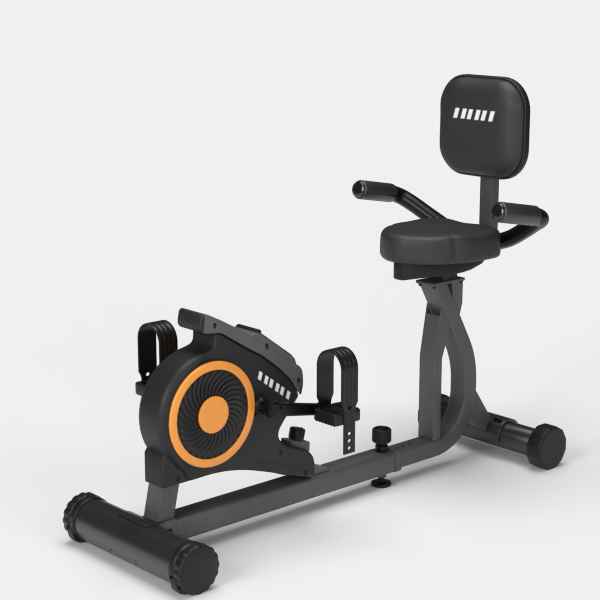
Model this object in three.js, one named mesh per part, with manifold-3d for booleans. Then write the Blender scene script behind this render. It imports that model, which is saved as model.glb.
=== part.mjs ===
// Recumbent exercise bike: a low drive casing in front, a telescoping rail, and a seat with a backrest.
// Millimetres, +X towards the rear (the rider faces -X), +Y to the rider's right, +Z up.
// X is measured from the front stabilizer's axis here; the whole bike is then centred on the origin.

import * as THREE from 'three';
import { mergeVertices } from 'three/addons/utils/BufferGeometryUtils.js';
import Module from 'manifold-3d';

const wasm = await Module();
wasm.setup();

// ---- Driving dimensions -------------------------------------------------------------------------------

const WHEELBASE = 1150; // front stabilizer axis to rear stabilizer axis
const GAP = 0.3; // between pieces that touch
const WALL = 2.5; // steel tube wall
const SHELL = 3; // plastic shell wall

const FRONT_BAR = { radius: 48, halfLength: 170, z: 53 };
const FRONT_CAP = { radius: 52.2, scallop: 0.8, count: 16, outer: 212.5 };
const CASTER = { x: -22, z: 31, radius: 28, pin: 4, inner: 178, outer: 198 };

const REAR_BAR = { x: WHEELBASE, z: 55, radius: 36, halfLength: 168 };
const REAR_CAP = { inner: 168, outer: 212, sides: 12 };

const RAIL = { start: 80.3, end: 780, halfWidth: 31, bottom: 37, top: 88, corner: 7 };
const UPRIGHT = { frontX: 34, z: 92.3, depth: 44, halfWidth: 25, lean: 0.22, top: 205 };

const LOCK = { x: 742, headRadius: 24, headBottom: 112, headTop: 148, pinRadius: 5, pinTip: 74 };
const HOLE_PITCH = 25;
const FOOT = { x: 742, radius: 25, thick: 8, stem: 6 };

const DRUM = { x: 172, z: 313, radius: 137, round: 14 };
const CASE_HALF = 40; // half width of the casing's body
const EDGE_ROUND = 9; // rounding of the casing's side edges
const PAD_HALF = 46; // half width over the round pads that carry the rings
const RING = { outer: 118, inner: 98, badge: 41 };
const CRANK = { x: 312, z: 304, length: 150, angle: -11.5, axle: 10 };
const ARM = { inner: 78, outer: 92, boss: 19, endBoss: 15.5 };
const PEDAL = { inner: 99, outer: 175, half: 40, thick: 26, spindle: 6 };
const STRAP = { half: 21, thick: 3, rise: 153, tail: 88 };

const FLYWHEEL = { radius: 100, bore: 8.5, axle: 6 };
const PULLEY = { radius: 75, small: 24, y0: 8, y1: 14 };

const TUBE = { half: 21.5, halfWidth: 27, z: 62.5, start: 560 }; // bent tube on its run inside the rail
const BEND = { x: 915, radius: 125 }; // up from the rail
const BOW = { z: 215, radius: 210 }; // forward again under the seat
const LEAN = 29.4; // degrees the curved tube leans forward above its bow
const TUBE_TOP = 487;
const SEAT = { bottom: 558, top: 630, nose: 770, rear: 1058, half: 137 };
const BACK = { front: 1052, shell: 1090, rear: 1107.5, half: 140, bottom: 737, top: 990, corner: 78 };
const POST = { front: 1108, depth: 26, half: 20, armBottom: 531, top: 965 };
const BAR = { radius: 18.5, grip: 24, plug: 17 };

// ---- Materials ----------------------------------------------------------------------------------------

const material = (color, roughness, metalness) => {
  return () => new THREE.MeshStandardMaterial({ color, roughness, metalness });
};
const coat = material(0x3a3a3b, 0.45, 0.35);
const coatDark = material(0x262627, 0.4, 0.3);
const shellDark = material(0x1e1e1f, 0.5, 0);
const shellGrey = material(0x4a4a4b, 0.5, 0);
const blackPlastic = material(0x151516, 0.5, 0);
const rubber = material(0x1b1b1b, 0.85, 0);
const foam = material(0x202021, 0.9, 0);
const leather = material(0x2a2a2b, 0.6, 0);
const orange = material(0xf0963a, 0.45, 0);
const steel = material(0xb8babd, 0.3, 1);
const iron = material(0x6a6c70, 0.4, 1);
const glass = material(0x1a2226, 0.15, 0);

// ---- Geometry helpers ---------------------------------------------------------------------------------

const radians = THREE.MathUtils.degToRad;

/** Points on an arc in a plane, from angle a0 to angle a1 in degrees. */
function arc(cx, cy, r, a0, a1, steps = 8) {
  return Array.from({ length: steps + 1 }, (_, i) => {
    const a = radians(a0 + ((a1 - a0) * i) / steps);
    return [cx + r * Math.cos(a), cy + r * Math.sin(a)];
  });
}

const shapeOf = (points) => new THREE.Shape(points.map(([x, y]) => new THREE.Vector2(x, y)));

/** Outline of a rectangle with rounded corners, centred on (cx, cy). */
function roundedRect(cx, cy, halfX, halfY, r, steps = 4) {
  const [x, y] = [halfX - r, halfY - r];
  return [
    ...arc(cx + x, cy + y, r, 0, 90, steps),
    ...arc(cx - x, cy + y, r, 90, 180, steps),
    ...arc(cx - x, cy - y, r, 180, 270, steps),
    ...arc(cx + x, cy - y, r, 270, 360, steps),
  ];
}

const noBevel = { bevelEnabled: false, curveSegments: 8 };

/** Side elevation outline (x, z) extruded across Y from y0 to y1. */
function extrudeY(points, y0, y1, options = {}) {
  const geometry = new THREE.ExtrudeGeometry(shapeOf(points), { ...noBevel, depth: y1 - y0, ...options });
  return geometry.rotateX(Math.PI / 2).translate(0, y1, 0);
}

/** Plan outline (x, y) extruded from z0 to z1. */
function extrudeZ(points, z0, z1, options = {}) {
  const geometry = new THREE.ExtrudeGeometry(shapeOf(points), { ...noBevel, depth: z1 - z0, ...options });
  return geometry.translate(0, 0, z0);
}

/** Cross section (y, z) extruded along X from x0 to x1. */
function extrudeX(points, x0, x1) {
  const geometry = new THREE.ExtrudeGeometry(shapeOf(points), { ...noBevel, depth: x1 - x0 });
  geometry.rotateX(Math.PI / 2).rotateZ(Math.PI / 2);
  return geometry.translate(x0, 0, 0);
}

function box(x0, x1, y0, y1, z0, z1) {
  const geometry = new THREE.BoxGeometry(x1 - x0, y1 - y0, z1 - z0);
  return geometry.translate((x0 + x1) / 2, (y0 + y1) / 2, (z0 + z1) / 2);
}

function cylinderY(radius, x, z, y0, y1, sides = 24) {
  return new THREE.CylinderGeometry(radius, radius, y1 - y0, sides).translate(x, (y0 + y1) / 2, z);
}

function cylinderZ(radius, x, y, z0, z1, sides = 20) {
  const geometry = new THREE.CylinderGeometry(radius, radius, z1 - z0, sides).rotateX(Math.PI / 2);
  return geometry.translate(x, y, (z0 + z1) / 2);
}

/** Turned piece about an axis along Y through (x, z); the profile lists (radius, y) and closes on itself. */
function turned(profile, x, z, sides = 32) {
  const closed = profile[0][0] === 0 ? profile : [...profile, profile[0]];
  const points = closed.map(([r, y]) => new THREE.Vector2(r, y));
  return outward(new THREE.LatheGeometry(points, sides)).translate(x, 0, z);
}

/** Bar of a round section along a path of 3-D points joined by a smooth curve. */
function roundBar(curve, radius, steps, sides = 16) {
  const section = shapeOf(arc(0, 0, radius, 0, 360, sides).slice(0, -1));
  return new THREE.ExtrudeGeometry(section, { ...noBevel, steps, extrudePath: curve });
}

/** Only the merged positions of a geometry, which is what makes it one closed mesh. */
function bare(geometry) {
  const copy = geometry.clone();
  copy.deleteAttribute('normal');
  copy.deleteAttribute('uv');
  return mergeVertices(copy, 1e-4);
}

/** The same geometry with its faces turned to point out of the solid. */
function outward(geometry) {
  const merged = bare(geometry);
  const [p, index] = [merged.attributes.position, merged.index.array];
  const corner = (i) => new THREE.Vector3().fromBufferAttribute(p, index[i]);
  let volume = 0;
  for (let i = 0; i < index.length; i += 3) volume += corner(i).dot(corner(i + 1).cross(corner(i + 2)));
  if (volume < 0) {
    for (let i = 0; i < index.length; i += 3) [index[i], index[i + 1]] = [index[i + 1], index[i]];
  }
  return merged;
}

function solid(geometry) {
  const merged = outward(geometry);
  const mesh = new wasm.Mesh({
    numProp: 3,
    vertProperties: new Float32Array(merged.attributes.position.array),
    triVerts: new Uint32Array(merged.index.array),
  });
  return new wasm.Manifold(mesh);
}

function geometryOf(manifold) {
  const mesh = manifold.getMesh();
  const geometry = new THREE.BufferGeometry();
  geometry.setAttribute('position', new THREE.BufferAttribute(new Float32Array(mesh.vertProperties), 3));
  geometry.setIndex(new THREE.BufferAttribute(new Uint32Array(mesh.triVerts), 1));
  return geometry;
}

const joined = (...pieces) => geometryOf(pieces.map(solid).reduce((a, b) => a.add(b)));
const cut = (piece, ...tools) => geometryOf(tools.map(solid).reduce((a, b) => a.subtract(b), solid(piece)));
const common = (a, b) => geometryOf(solid(a).intersect(solid(b)));

// ---- The group and its meshes -------------------------------------------------------------------------

const bike = new THREE.Group();
const chassis = new THREE.Group();
chassis.position.x = (FRONT_CAP.radius + FRONT_CAP.scallop - WHEELBASE - REAR_BAR.z) / 2;
bike.add(chassis);

function add(name, geometry, makeMaterial) {
  const mesh = new THREE.Mesh(geometry, makeMaterial());
  mesh.name = name;
  chassis.add(mesh);
}

/** The rider's left side is -Y. The right piece is the left one mirrored. */
function addPair(name, leftGeometry, makeMaterial) {
  add(`${name}_left`, leftGeometry, makeMaterial);
  const mirrored = leftGeometry.clone().applyMatrix4(new THREE.Matrix4().makeScale(1, -1, 1));
  add(`${name}_right`, outward(mirrored), makeMaterial);
}

// ---- Front frame --------------------------------------------------------------------------------------

function frontStabilizer() {
  const { radius, halfLength, z } = FRONT_BAR;
  const profile = [
    [radius - WALL, -halfLength],
    [radius, -halfLength],
    [radius, halfLength],
    [radius - WALL, halfLength],
  ];
  return turned(profile, 0, z, 36);
}

/** End cap with a scalloped rim, a spigot in the tube, and a pocket with the caster's pin in it. */
function frontCap() {
  const { radius, scallop, count, outer } = FRONT_CAP;
  const rim = Array.from({ length: count * 4 }, (_, i) => {
    const a = (i / (count * 4)) * 2 * Math.PI;
    const r = radius + scallop * Math.cos(count * a);
    return [r * Math.cos(a), FRONT_BAR.z + r * Math.sin(a)];
  });
  const head = extrudeY(rim, -outer, -FRONT_BAR.halfLength - GAP);
  const spigotRadius = FRONT_BAR.radius - WALL - 0.5;
  const mouth = -FRONT_BAR.halfLength;
  const spigot = cylinderY(spigotRadius, 0, FRONT_BAR.z, mouth - 1, mouth + 22, 36);
  const pocket = cylinderY(CASTER.radius + 4, CASTER.x, CASTER.z, -CASTER.outer - 2, -CASTER.inner + 2);
  const pin = cylinderY(CASTER.pin, CASTER.x, CASTER.z, -CASTER.outer - 4, -CASTER.inner + 4, 20);
  return joined(cut(joined(head, spigot), pocket), pin);
}

function caster() {
  const { radius, pin, inner, outer } = CASTER;
  const bore = pin + 1;
  const profile = [
    [bore, -outer],
    [radius - 3, -outer],
    [radius, -outer + 3],
    [radius, -inner - 3],
    [radius - 3, -inner],
    [bore, -inner],
  ];
  return turned(profile, CASTER.x, CASTER.z);
}

/** Welded block that ties the stabilizer tube, the rail and the upright together. */
function frontSaddle() {
  const block = box(16, RAIL.start - GAP, -RAIL.halfWidth, RAIL.halfWidth, RAIL.bottom, UPRIGHT.z - GAP);
  return cut(block, cylinderY(FRONT_BAR.radius + GAP, 0, FRONT_BAR.z, -60, 60, 48));
}

/** Hexagon bolt with a washer in the side of the saddle block. */
function frontBolt() {
  const [x, z] = [62, 66];
  const side = -RAIL.halfWidth - GAP;
  return joined(cylinderY(9, x, z, side - 2, side, 20), cylinderY(7, x, z, side - 7, side - 1, 6));
}

function uprightOutline(inset) {
  const { frontX, z, depth, lean, top } = UPRIGHT;
  const shift = (top - z) * lean;
  const [front, rear] = [frontX + inset, frontX + depth - inset];
  return [[front, z], [rear, z], [rear + shift, top], [front + shift, top]];
}

function frontUpright() {
  const outer = extrudeY(uprightOutline(0), -UPRIGHT.halfWidth, UPRIGHT.halfWidth);
  const longer = uprightOutline(WALL).map(([x, z], i) => (i < 2 ? [x, z - 0.5] : [x, z + 0.5]));
  return cut(outer, extrudeY(longer, -UPRIGHT.halfWidth + WALL, UPRIGHT.halfWidth - WALL));
}

/** Outer rail tube with the lock's threaded boss on top and the foot's boss underneath. */
function mainRail() {
  const { start, end, halfWidth, bottom, top, corner } = RAIL;
  const [z, halfZ] = [(bottom + top) / 2, (top - bottom) / 2];
  const outer = extrudeX(roundedRect(0, z, halfWidth, halfZ, corner), start, end);
  const bore = extrudeX(roundedRect(0, z, halfWidth - WALL, halfZ - WALL, corner - WALL), start - 1, end + 1);
  const tube = cut(outer, bore);
  const lockBoss = cylinderZ(13, LOCK.x, 0, top - 1, LOCK.headBottom - 8);
  const footBoss = cylinderZ(12, FOOT.x, 0, 22, bottom + 1);
  const lockHole = cylinderZ(LOCK.pinRadius + 0.6, LOCK.x, 0, top - 5, LOCK.headBottom);
  const footHole = cylinderZ(FOOT.stem + 0.5, FOOT.x, 0, 10, bottom + 5);
  return cut(joined(tube, lockBoss, footBoss), lockHole, footHole);
}

/** Rubber-faced foot on a threaded stem, under the end of the rail. */
function supportFoot() {
  const stemTop = RAIL.bottom + 2;
  const disc = cylinderZ(FOOT.radius, FOOT.x, 0, 0, FOOT.thick, 36);
  const nut = cylinderZ(11, FOOT.x, 0, FOOT.thick - 1, 14, 6);
  return joined(disc, nut, cylinderZ(FOOT.stem, FOOT.x, 0, 12, stemTop));
}

/** Ribbed hand knob with a neck and the locking pin below it. */
function lockKnob() {
  const ribs = 12;
  const grip = Array.from({ length: ribs * 4 }, (_, i) => {
    const a = (i / (ribs * 4)) * 2 * Math.PI;
    const r = LOCK.headRadius - 1.2 + 1.2 * Math.sign(Math.cos(ribs * a));
    return [LOCK.x + r * Math.cos(a), r * Math.sin(a)];
  });
  const head = extrudeZ(grip, LOCK.headBottom, LOCK.headTop);
  const dish = cylinderZ(LOCK.headRadius - 6, LOCK.x, 0, LOCK.headTop - 7, LOCK.headTop + 1);
  const bar = box(LOCK.x - 19, LOCK.x + 19, -4, 4, LOCK.headTop - 8, LOCK.headTop - 1);
  const neck = cylinderZ(11, LOCK.x, 0, LOCK.headBottom - 7, LOCK.headBottom + 1);
  const pin = cylinderZ(LOCK.pinRadius, LOCK.x, 0, LOCK.pinTip, LOCK.headBottom, 24);
  return joined(cut(head, dish), bar, neck, pin);
}

// ---- Drive casing -------------------------------------------------------------------------------------

/** Line where the lighter spine cover meets the dark casing, from the neck to the rear. */
const SPINE_LINE = [[188, 489], [203, 488], [245, 461], [285, 436], [319, 417], [403, 348], [433, 303]];

/** Side outline of the casing: spine line, waist behind the crank, rear foot, belly and front foot. */
function casingOutline() {
  const waist = [[425, 293], [397, 262], [372, 232], [369, 218], [376, 204], [397, 188]];
  const rearFoot = [[454, 168], [466, 158], [478, 143], [484, 120], [482, 91.5]];
  const belly = [[388, 120], [318, 146], [254, 164], [183, 174], [113, 172], [70, 170]];
  const frontFoot = [[46, 170], [46, 238], [62, 264]];
  const drumFront = arc(DRUM.x, DRUM.z, DRUM.radius, 200, 94, 11);
  return [...SPINE_LINE, ...waist, ...rearFoot, ...belly, ...frontFoot, ...drumFront, [182, 455], [188, 466]].reverse();
}

/** Casing solid grown or shrunk by an inset, with its side edges rounded. */
function casingBlock(inset) {
  const round = EDGE_ROUND - inset;
  const half = CASE_HALF - inset;
  const body = extrudeY(casingOutline(), -half + round, half - round, {
    bevelEnabled: true,
    bevelSize: round,
    bevelThickness: round,
    bevelOffset: -EDGE_ROUND,
    bevelSegments: 2,
  });
  const [padRadius, padHalf] = [RING.outer + 1.5 - inset, PAD_HALF - inset];
  const padProfile = [[0, -padHalf], [padRadius, -padHalf], [padRadius, padHalf], [0, padHalf]];
  return joined(body, turned(padProfile, DRUM.x, DRUM.z, 40));
}

function casingShell() {
  const shell = cut(casingBlock(0), casingBlock(SHELL));
  const openings = [
    cylinderY(13, CRANK.x, CRANK.z, -60, 60),
    extrudeY(uprightEnvelope(), -UPRIGHT.halfWidth - 0.5, UPRIGHT.halfWidth + 0.5),
    box(428 - 0.4, 484 + 0.4, -19.4, 19.4, 149.6, 192), // room for the resistance knob's socket
    box(50, 110, -33, 33, 160, 180), // the upright comes in through the sole of the front foot
  ];
  return cut(shell, ...openings);
}

/** The upright's outline with running room, extended below the casing. */
function uprightEnvelope() {
  const { frontX, z, depth, lean, top } = UPRIGHT;
  const shift = (top - z) * lean;
  const [front, rear] = [frontX - 0.5, frontX + depth + 0.5];
  return [[front, z], [rear, z], [rear + shift, top], [front + shift, top]];
}

function casingHalf(shell, y0, y1) {
  return common(shell, box(-50, 600, y0, y1, 0, 700));
}

/** Lighter cover along the spine, with the carrying nose in front; open below. */
function spineCover() {
  const half = CASE_HALF + 3;
  const top = [[151, 531], [155, 537], [163, 536], [204, 516], [304, 459], [405, 386], [430, 374]];
  const rear = [[442, 350], [443, 325], [436, 304]];
  const lower = SPINE_LINE.slice().reverse().map(([x, z]) => [x + 0.4, z + 0.5]);
  const nose = [[166, 492], [152, 498], [145, 508]];
  const outline = [...top, ...rear, ...lower, ...nose].reverse();
  const block = extrudeY(outline, -half, half);
  const underTop = [[196, 511], [300, 453], [402, 380], [426, 368], [437, 345]];
  const hollow = [...underTop, [437, 270], [196, 430]].reverse();
  return cut(block, extrudeY(hollow, -half + SHELL, half - SHELL));
}

// The monitor lies on the spine's rear slope: "along" runs down the slope, "out" is square to it.
const MONITOR = { start: [306, 462], end: [408, 388], half: 36, thick: 13 };

function monitorFrame() {
  const [x, z] = MONITOR.start;
  const angle = Math.atan2(MONITOR.end[1] - z, MONITOR.end[0] - x);
  return new THREE.Matrix4().makeTranslation(x, 0, z).multiply(new THREE.Matrix4().makeRotationY(-angle));
}

const MONITOR_LENGTH = Math.hypot(MONITOR.end[0] - MONITOR.start[0], MONITOR.end[1] - MONITOR.start[1]);

function monitorHousing() {
  const { half, thick } = MONITOR;
  const profile = [[0, 0.8], [MONITOR_LENGTH, 0.8], [MONITOR_LENGTH, thick - 3], [MONITOR_LENGTH - 4, thick]];
  const outline = [...profile, [10, thick], ...arc(4, thick - 3, 8, 60, 180, 6), [-4, 4]];
  const body = extrudeY(outline, -half, half);
  const window = box(14, 76, -27, 27, thick - 2.5, thick + 5);
  const well = box(83, 95, -8, 8, thick - 6, thick + 5);
  return cut(body, window, well).applyMatrix4(monitorFrame());
}

function monitorScreen() {
  const { thick } = MONITOR;
  return box(14.4, 75.6, -26.6, 26.6, thick - 2.2, thick - 0.8).applyMatrix4(monitorFrame());
}

function monitorButton() {
  const { thick } = MONITOR;
  return box(84, 94, -7, 7, thick - 3.5, thick + 1.5).applyMatrix4(monitorFrame());
}

/** Raised ring with chamfered edges on the round pad. */
function ringTrim() {
  const [back, front] = [-PAD_HALF - GAP, -PAD_HALF - 5];
  const profile = [
    [RING.inner, back],
    [RING.inner, front],
    [RING.outer - 2, front],
    [RING.outer, front + 2],
    [RING.outer, back],
  ];
  return turned(profile, DRUM.x, DRUM.z, 48);
}

function sideDisc() {
  const back = -PAD_HALF - GAP;
  return cylinderY(RING.inner - 0.5, DRUM.x, DRUM.z, back - 2.2, back, 40);
}

function badge() {
  const back = -PAD_HALF - 3;
  const edge = [[RING.badge, back], [RING.badge, back - 2.5], [RING.badge - 1.5, back - 4]];
  return turned([[0, back], ...edge, [0, back - 4]], DRUM.x, DRUM.z, 36);
}

function bearingCover() {
  const profile = [
    [12, -CASE_HALF - GAP],
    [20, -CASE_HALF - GAP],
    [20, -CASE_HALF - 8],
    [16, -CASE_HALF - 12],
    [12, -CASE_HALF - 12],
  ];
  return turned(profile, CRANK.x, CRANK.z, 24);
}

/** Grey socket of the resistance knob, with a sloping top. */
function tensionBase() {
  const outline = [[428, 150], [473, 150], [483, 152], [484, 174], [430, 187], [428, 185]];
  return extrudeY(outline, -19, 19);
}

/** Resistance knob, fluted, its axis square to the socket's sloping top. */
const TENSION = { x: 457, z: 181, tilt: 13.5, radius: 18, height: 28 };

function tensionKnob() {
  const { x, z, tilt, radius, height } = TENSION;
  const flutes = 12;
  const outline = Array.from({ length: flutes * 6 }, (_, i) => {
    const a = (i / (flutes * 6)) * 2 * Math.PI;
    const r = radius - 1 + Math.cos(flutes * a);
    return [r * Math.cos(a), r * Math.sin(a)];
  });
  const head = extrudeZ(outline, 2, height);
  const pointer = box(6, radius - 3, -1.5, 1.5, height - 1, height + 1);
  return joined(head, pointer).rotateY(radians(tilt)).translate(x, 0, z);
}

/** Tab that fastens the casing's rear foot to the rail. */
function casingTab() {
  const base = RAIL.top + GAP;
  return extrudeY([[486, base], [548, base], [548, base + 5], [512, base + 16], [486, base + 22]], -20, 20);
}

// ---- Drive --------------------------------------------------------------------------------------------

/** Two side plates with bearing bosses and the flywheel's axle, tied by a bar over the upright. */
function driveFrame() {
  const foot = [[72, 226], [56, 176], [104, 176], [176, 286]];
  const outline = [...foot, [320, 278], [338, 304], [320, 332], [164, 340]];
  const bar = box(82, 102, -30, 30, UPRIGHT.top + GAP, UPRIGHT.top + 8);
  const bossLeft = cylinderY(20, CRANK.x, CRANK.z, -30, -2);
  const bossRight = cylinderY(20, CRANK.x, CRANK.z, 18, 30);
  const plates = [extrudeY(outline, -30, -25.4), extrudeY(outline, 25.4, 30)];
  const axleHole = cylinderY(CRANK.axle + 0.6, CRANK.x, CRANK.z, -40, 40);
  const flywheelAxle = cylinderY(FLYWHEEL.axle, DRUM.x, DRUM.z, -34, 34, 24);
  return cut(joined(...plates, bar, bossLeft, bossRight, flywheelAxle), axleHole);
}

function flywheel() {
  const { radius, bore } = FLYWHEEL;
  const { small, y0, y1 } = PULLEY;
  const hub = 16;
  const profile = [
    [bore, -24], [hub, -24], [hub, -20], [radius, -20], [radius, -8], [hub, -8],
    [hub, y0], [small, y0], [small, y1], [hub, y1], [hub, 20], [bore, 20],
  ];
  return turned(profile, DRUM.x, DRUM.z, 36);
}

function drivePulley() {
  const bore = CRANK.axle + GAP;
  const { radius, y0, y1 } = PULLEY;
  return turned([[bore, y0], [radius, y0], [radius, y1], [bore, y1]], CRANK.x, CRANK.z, 36);
}

/** Outline of a belt's face around both pulleys, grown from their radii. */
function beltLoop(grow) {
  const [r1, r2] = [PULLEY.small + grow, PULLEY.radius + grow];
  const distance = Math.hypot(CRANK.x - DRUM.x, CRANK.z - DRUM.z);
  const line = THREE.MathUtils.radToDeg(Math.atan2(CRANK.z - DRUM.z, CRANK.x - DRUM.x));
  const spread = THREE.MathUtils.radToDeg(Math.acos((r1 - r2) / distance));
  const big = arc(CRANK.x, CRANK.z, r2, line - spread, line + spread, 24);
  return [...big, ...arc(DRUM.x, DRUM.z, r1, line + spread, line + 360 - spread, 12)];
}

function driveBelt() {
  const outer = extrudeY(beltLoop(2.4), PULLEY.y0 + 0.5, PULLEY.y1 - 0.5);
  return cut(outer, extrudeY(beltLoop(0.4), PULLEY.y0 - 1, PULLEY.y1 + 1));
}

/** Curved magnet holder under the flywheel's rim; it swings away about its rear end. */
function magnetHolder() {
  const [inner, outer] = [FLYWHEEL.radius + 4, FLYWHEEL.radius + 12];
  const sector = [...arc(DRUM.x, DRUM.z, outer, -80, -38, 14), ...arc(DRUM.x, DRUM.z, inner, -38, -80, 14)];
  return extrudeY(sector, -24, -4);
}

const crankAxle = () => cylinderY(CRANK.axle, CRANK.x, CRANK.z, -86, 86, 32);

/** Left crank in its own frame: the axle at the origin, the arm along +X, the pedal spindle at its end. */
function crankArm() {
  const { inner, outer, boss, endBoss } = ARM;
  const r1 = 14;
  const r2 = 12;
  const outline = [...arc(0, 0, r1, 90, 270, 10), ...arc(CRANK.length, 0, r2, -90, 90, 10)];
  const arm = extrudeY(outline, -outer, -inner);
  const hub = cylinderY(boss, 0, 0, -outer - 2, -54, 36);
  const end = cylinderY(endBoss, CRANK.length, 0, -outer - 2, -inner + 2, 28);
  const spindle = cylinderY(PEDAL.spindle, CRANK.length, 0, -PEDAL.outer + 3, -outer, 24);
  return cut(joined(arm, hub, end, spindle), cylinderY(CRANK.axle + GAP, 0, 0, -86 - GAP, -50));
}

/** Places a piece drawn at the crank's own axis; the left arm points rearwards, the right one forwards. */
function onCrank(geometry, turn) {
  return geometry.rotateY(radians(-CRANK.angle - turn)).translate(CRANK.x, 0, CRANK.z);
}

/** Pedal platform with rounded ends, a bore for the spindle and the two slots of the tread. */
function pedal() {
  const { inner, outer, half, thick, spindle } = PEDAL;
  const middle = -(inner + outer) / 2;
  const plan = roundedRect(0, middle, half, (outer - inner) / 2, 9, 4);
  const body = extrudeZ(plan, -thick / 2, thick / 2, {
    depth: thick - 6,
    bevelEnabled: true,
    bevelSize: 3,
    bevelThickness: 3,
    bevelOffset: -3,
    bevelSegments: 1,
  }).translate(0, 0, 3);
  const windows = [-1, 1].map((side) => box(side * 22 - 9, side * 22 + 9, middle - 26, middle + 26, -20, 20));
  return cut(body, cylinderY(spindle + 0.6, 0, 0, -outer + 1.5, -inner + 5), ...windows);
}

/** Foot strap: up from the pedal's inner side, over the foot, down the outer side and on to a loose tail. */
function strap() {
  const { half, thick, rise, tail } = STRAP;
  const inside = -PEDAL.inner + GAP;
  const outside = -PEDAL.outer - GAP;
  const middle = (inside + outside) / 2;
  const bow = (inside - outside) / 2;
  const crown = rise - bow - thick;
  const over = arc(middle, crown, bow + thick, 0, 180, 12);
  const under = arc(middle, crown, bow, 180, 0, 12);
  const foot = [[inside, -12], [inside + thick, -12]];
  const end = [[outside - thick, -tail], [outside, -tail]];
  const band = extrudeX([...foot, ...over, ...end, ...under], -half, half);
  const holes = [-78, -62, -46, -30, 30].map((z) => {
    return cylinderY(3.5, 0, z, outside - thick - 1, outside + 1, 12);
  });
  const spindleHole = cylinderY(PEDAL.spindle + 1.5, 0, 0, inside - 1, inside + thick + 1, 20);
  return cut(band, spindleHole, ...holes);
}

/** Places a pedal or strap at the end of its crank; a pedal hangs level. */
function atPedal(geometry, direction) {
  const a = radians(CRANK.angle);
  const [dx, dz] = [CRANK.length * Math.cos(a), CRANK.length * Math.sin(a)];
  return geometry.clone().translate(CRANK.x + direction * dx, 0, CRANK.z + direction * dz);
}

const mirrorY = (geometry) => outward(geometry.clone().applyMatrix4(new THREE.Matrix4().makeScale(1, -1, 1)));

// ---- Rear frame ---------------------------------------------------------------------------------------

/** One edge of the curved tube: along the rail, up round the bend, through the bow and on to the seat. */
function tubeEdge(side, startX, topZ) {
  const offset = side * TUBE.half;
  const bend = arc(BEND.x, TUBE.z + BEND.radius, BEND.radius + offset, -90, 0, 9);
  const bow = arc(BEND.x + BEND.radius - BOW.radius, BOW.z, BOW.radius + offset, 0, LEAN, 4);
  const [x, y] = bow[bow.length - 1];
  const run = (topZ - y) / Math.cos(radians(LEAN));
  return [[startX, TUBE.z - offset], ...bend, ...bow, [x - run * Math.sin(radians(LEAN)), topZ]];
}

function tubeOutline(half, startX, topZ) {
  const scale = half / TUBE.half;
  return [...tubeEdge(scale, startX, topZ), ...tubeEdge(-scale, startX, topZ).reverse()];
}

/** Inner rail and curved seat support in one bent tube, with the row of lock holes on top. */
function curvedTube() {
  const outer = extrudeY(tubeOutline(TUBE.half, TUBE.start, TUBE_TOP), -TUBE.halfWidth, TUBE.halfWidth);
  const inside = tubeOutline(TUBE.half - WALL, TUBE.start - 5, TUBE_TOP - WALL);
  const bore = extrudeY(inside, -TUBE.halfWidth + WALL, TUBE.halfWidth - WALL);
  const holes = [-2, -1, 0, 1, 2, 3, 4].map((step) => {
    return cylinderZ(LOCK.pinRadius + 0.8, LOCK.x + step * HOLE_PITCH, 0, 70, 90, 12);
  });
  return cut(outer, bore, ...holes);
}

/** Straight post from the rail up to the curved tube's underside. */
function seatPost() {
  const post = [[901, 84.2], [928, 84.2], [928, 296], [990, 470], [930, 470], [901, 300]];
  const wall = [[903.5, 80], [925.5, 80], [925.5, 297], [985, 480], [930, 480], [903.5, 300]];
  const half = 25.5;
  const tube = cut(extrudeY(post, -half, half), extrudeY(wall, -half + WALL, half - WALL));
  const above = tubeOutline(TUBE.half + GAP, TUBE.start, TUBE_TOP + 60);
  const upper = extrudeY([[1100, 300], [1100, 700], [800, 700], [880, 520], [1010, 290]], -60, 60);
  return cut(tube, extrudeY(above, -60, 60), common(upper, upperRegion()));
}

/** Everything above the curved tube's upper run, where the post's other half belongs. */
function upperRegion() {
  const edge = tubeEdge(0, TUBE.start, TUBE_TOP + 60).slice(-2);
  const [[x0, z0], [x1, z1]] = edge;
  return extrudeY([[x0, z0], [x0 + 300, z0], [x1 + 300, z1], [x1, z1]], -60, 60);
}

/** Seat plate with the post's upper stub below it and a riser block for the backrest arm on top. */
function seatPlate() {
  const plate = box(888, 1000, -31, 31, TUBE_TOP + GAP, TUBE_TOP + 7);
  const stubTop = TUBE_TOP + 2;
  const stub = extrudeY([[968, 424], [994, 400], [1002, 430], [1002, stubTop], [962, stubTop]], -23, 23);
  const keepOut = extrudeY(tubeOutline(TUBE.half + GAP, TUBE.start, TUBE_TOP), -60, 60);
  const riser = box(936, 986, -18, 18, TUBE_TOP + 6, POST.armBottom - GAP);
  return joined(plate, cut(stub, keepOut), riser);
}

/** Short leg from the bend down to the rear stabilizer. */
function rearLeg() {
  const bend = arc(BEND.x, TUBE.z + BEND.radius, BEND.radius + TUBE.half + GAP, 0, -32, 8);
  const saddle = arc(REAR_BAR.x, REAR_BAR.z, 44, 168, 118, 6);
  return extrudeY([...bend, ...saddle].reverse(), -24, 24);
}

/** Curved saddle welded to the leg, hugging the stabilizer tube. */
function rearSaddle() {
  const [inner, outer] = [REAR_BAR.radius + GAP, 43.6];
  const over = arc(REAR_BAR.x, REAR_BAR.z, outer, 20, 195, 18);
  const under = arc(REAR_BAR.x, REAR_BAR.z, inner, 195, 20, 18);
  return extrudeY([...over, ...under], -66, 66);
}

function rearStabilizer() {
  const { x, z, radius, halfLength } = REAR_BAR;
  const profile = [
    [radius - WALL, -halfLength],
    [radius, -halfLength],
    [radius, halfLength],
    [radius - WALL, halfLength],
  ];
  return turned(profile, x, z, 40);
}

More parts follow.
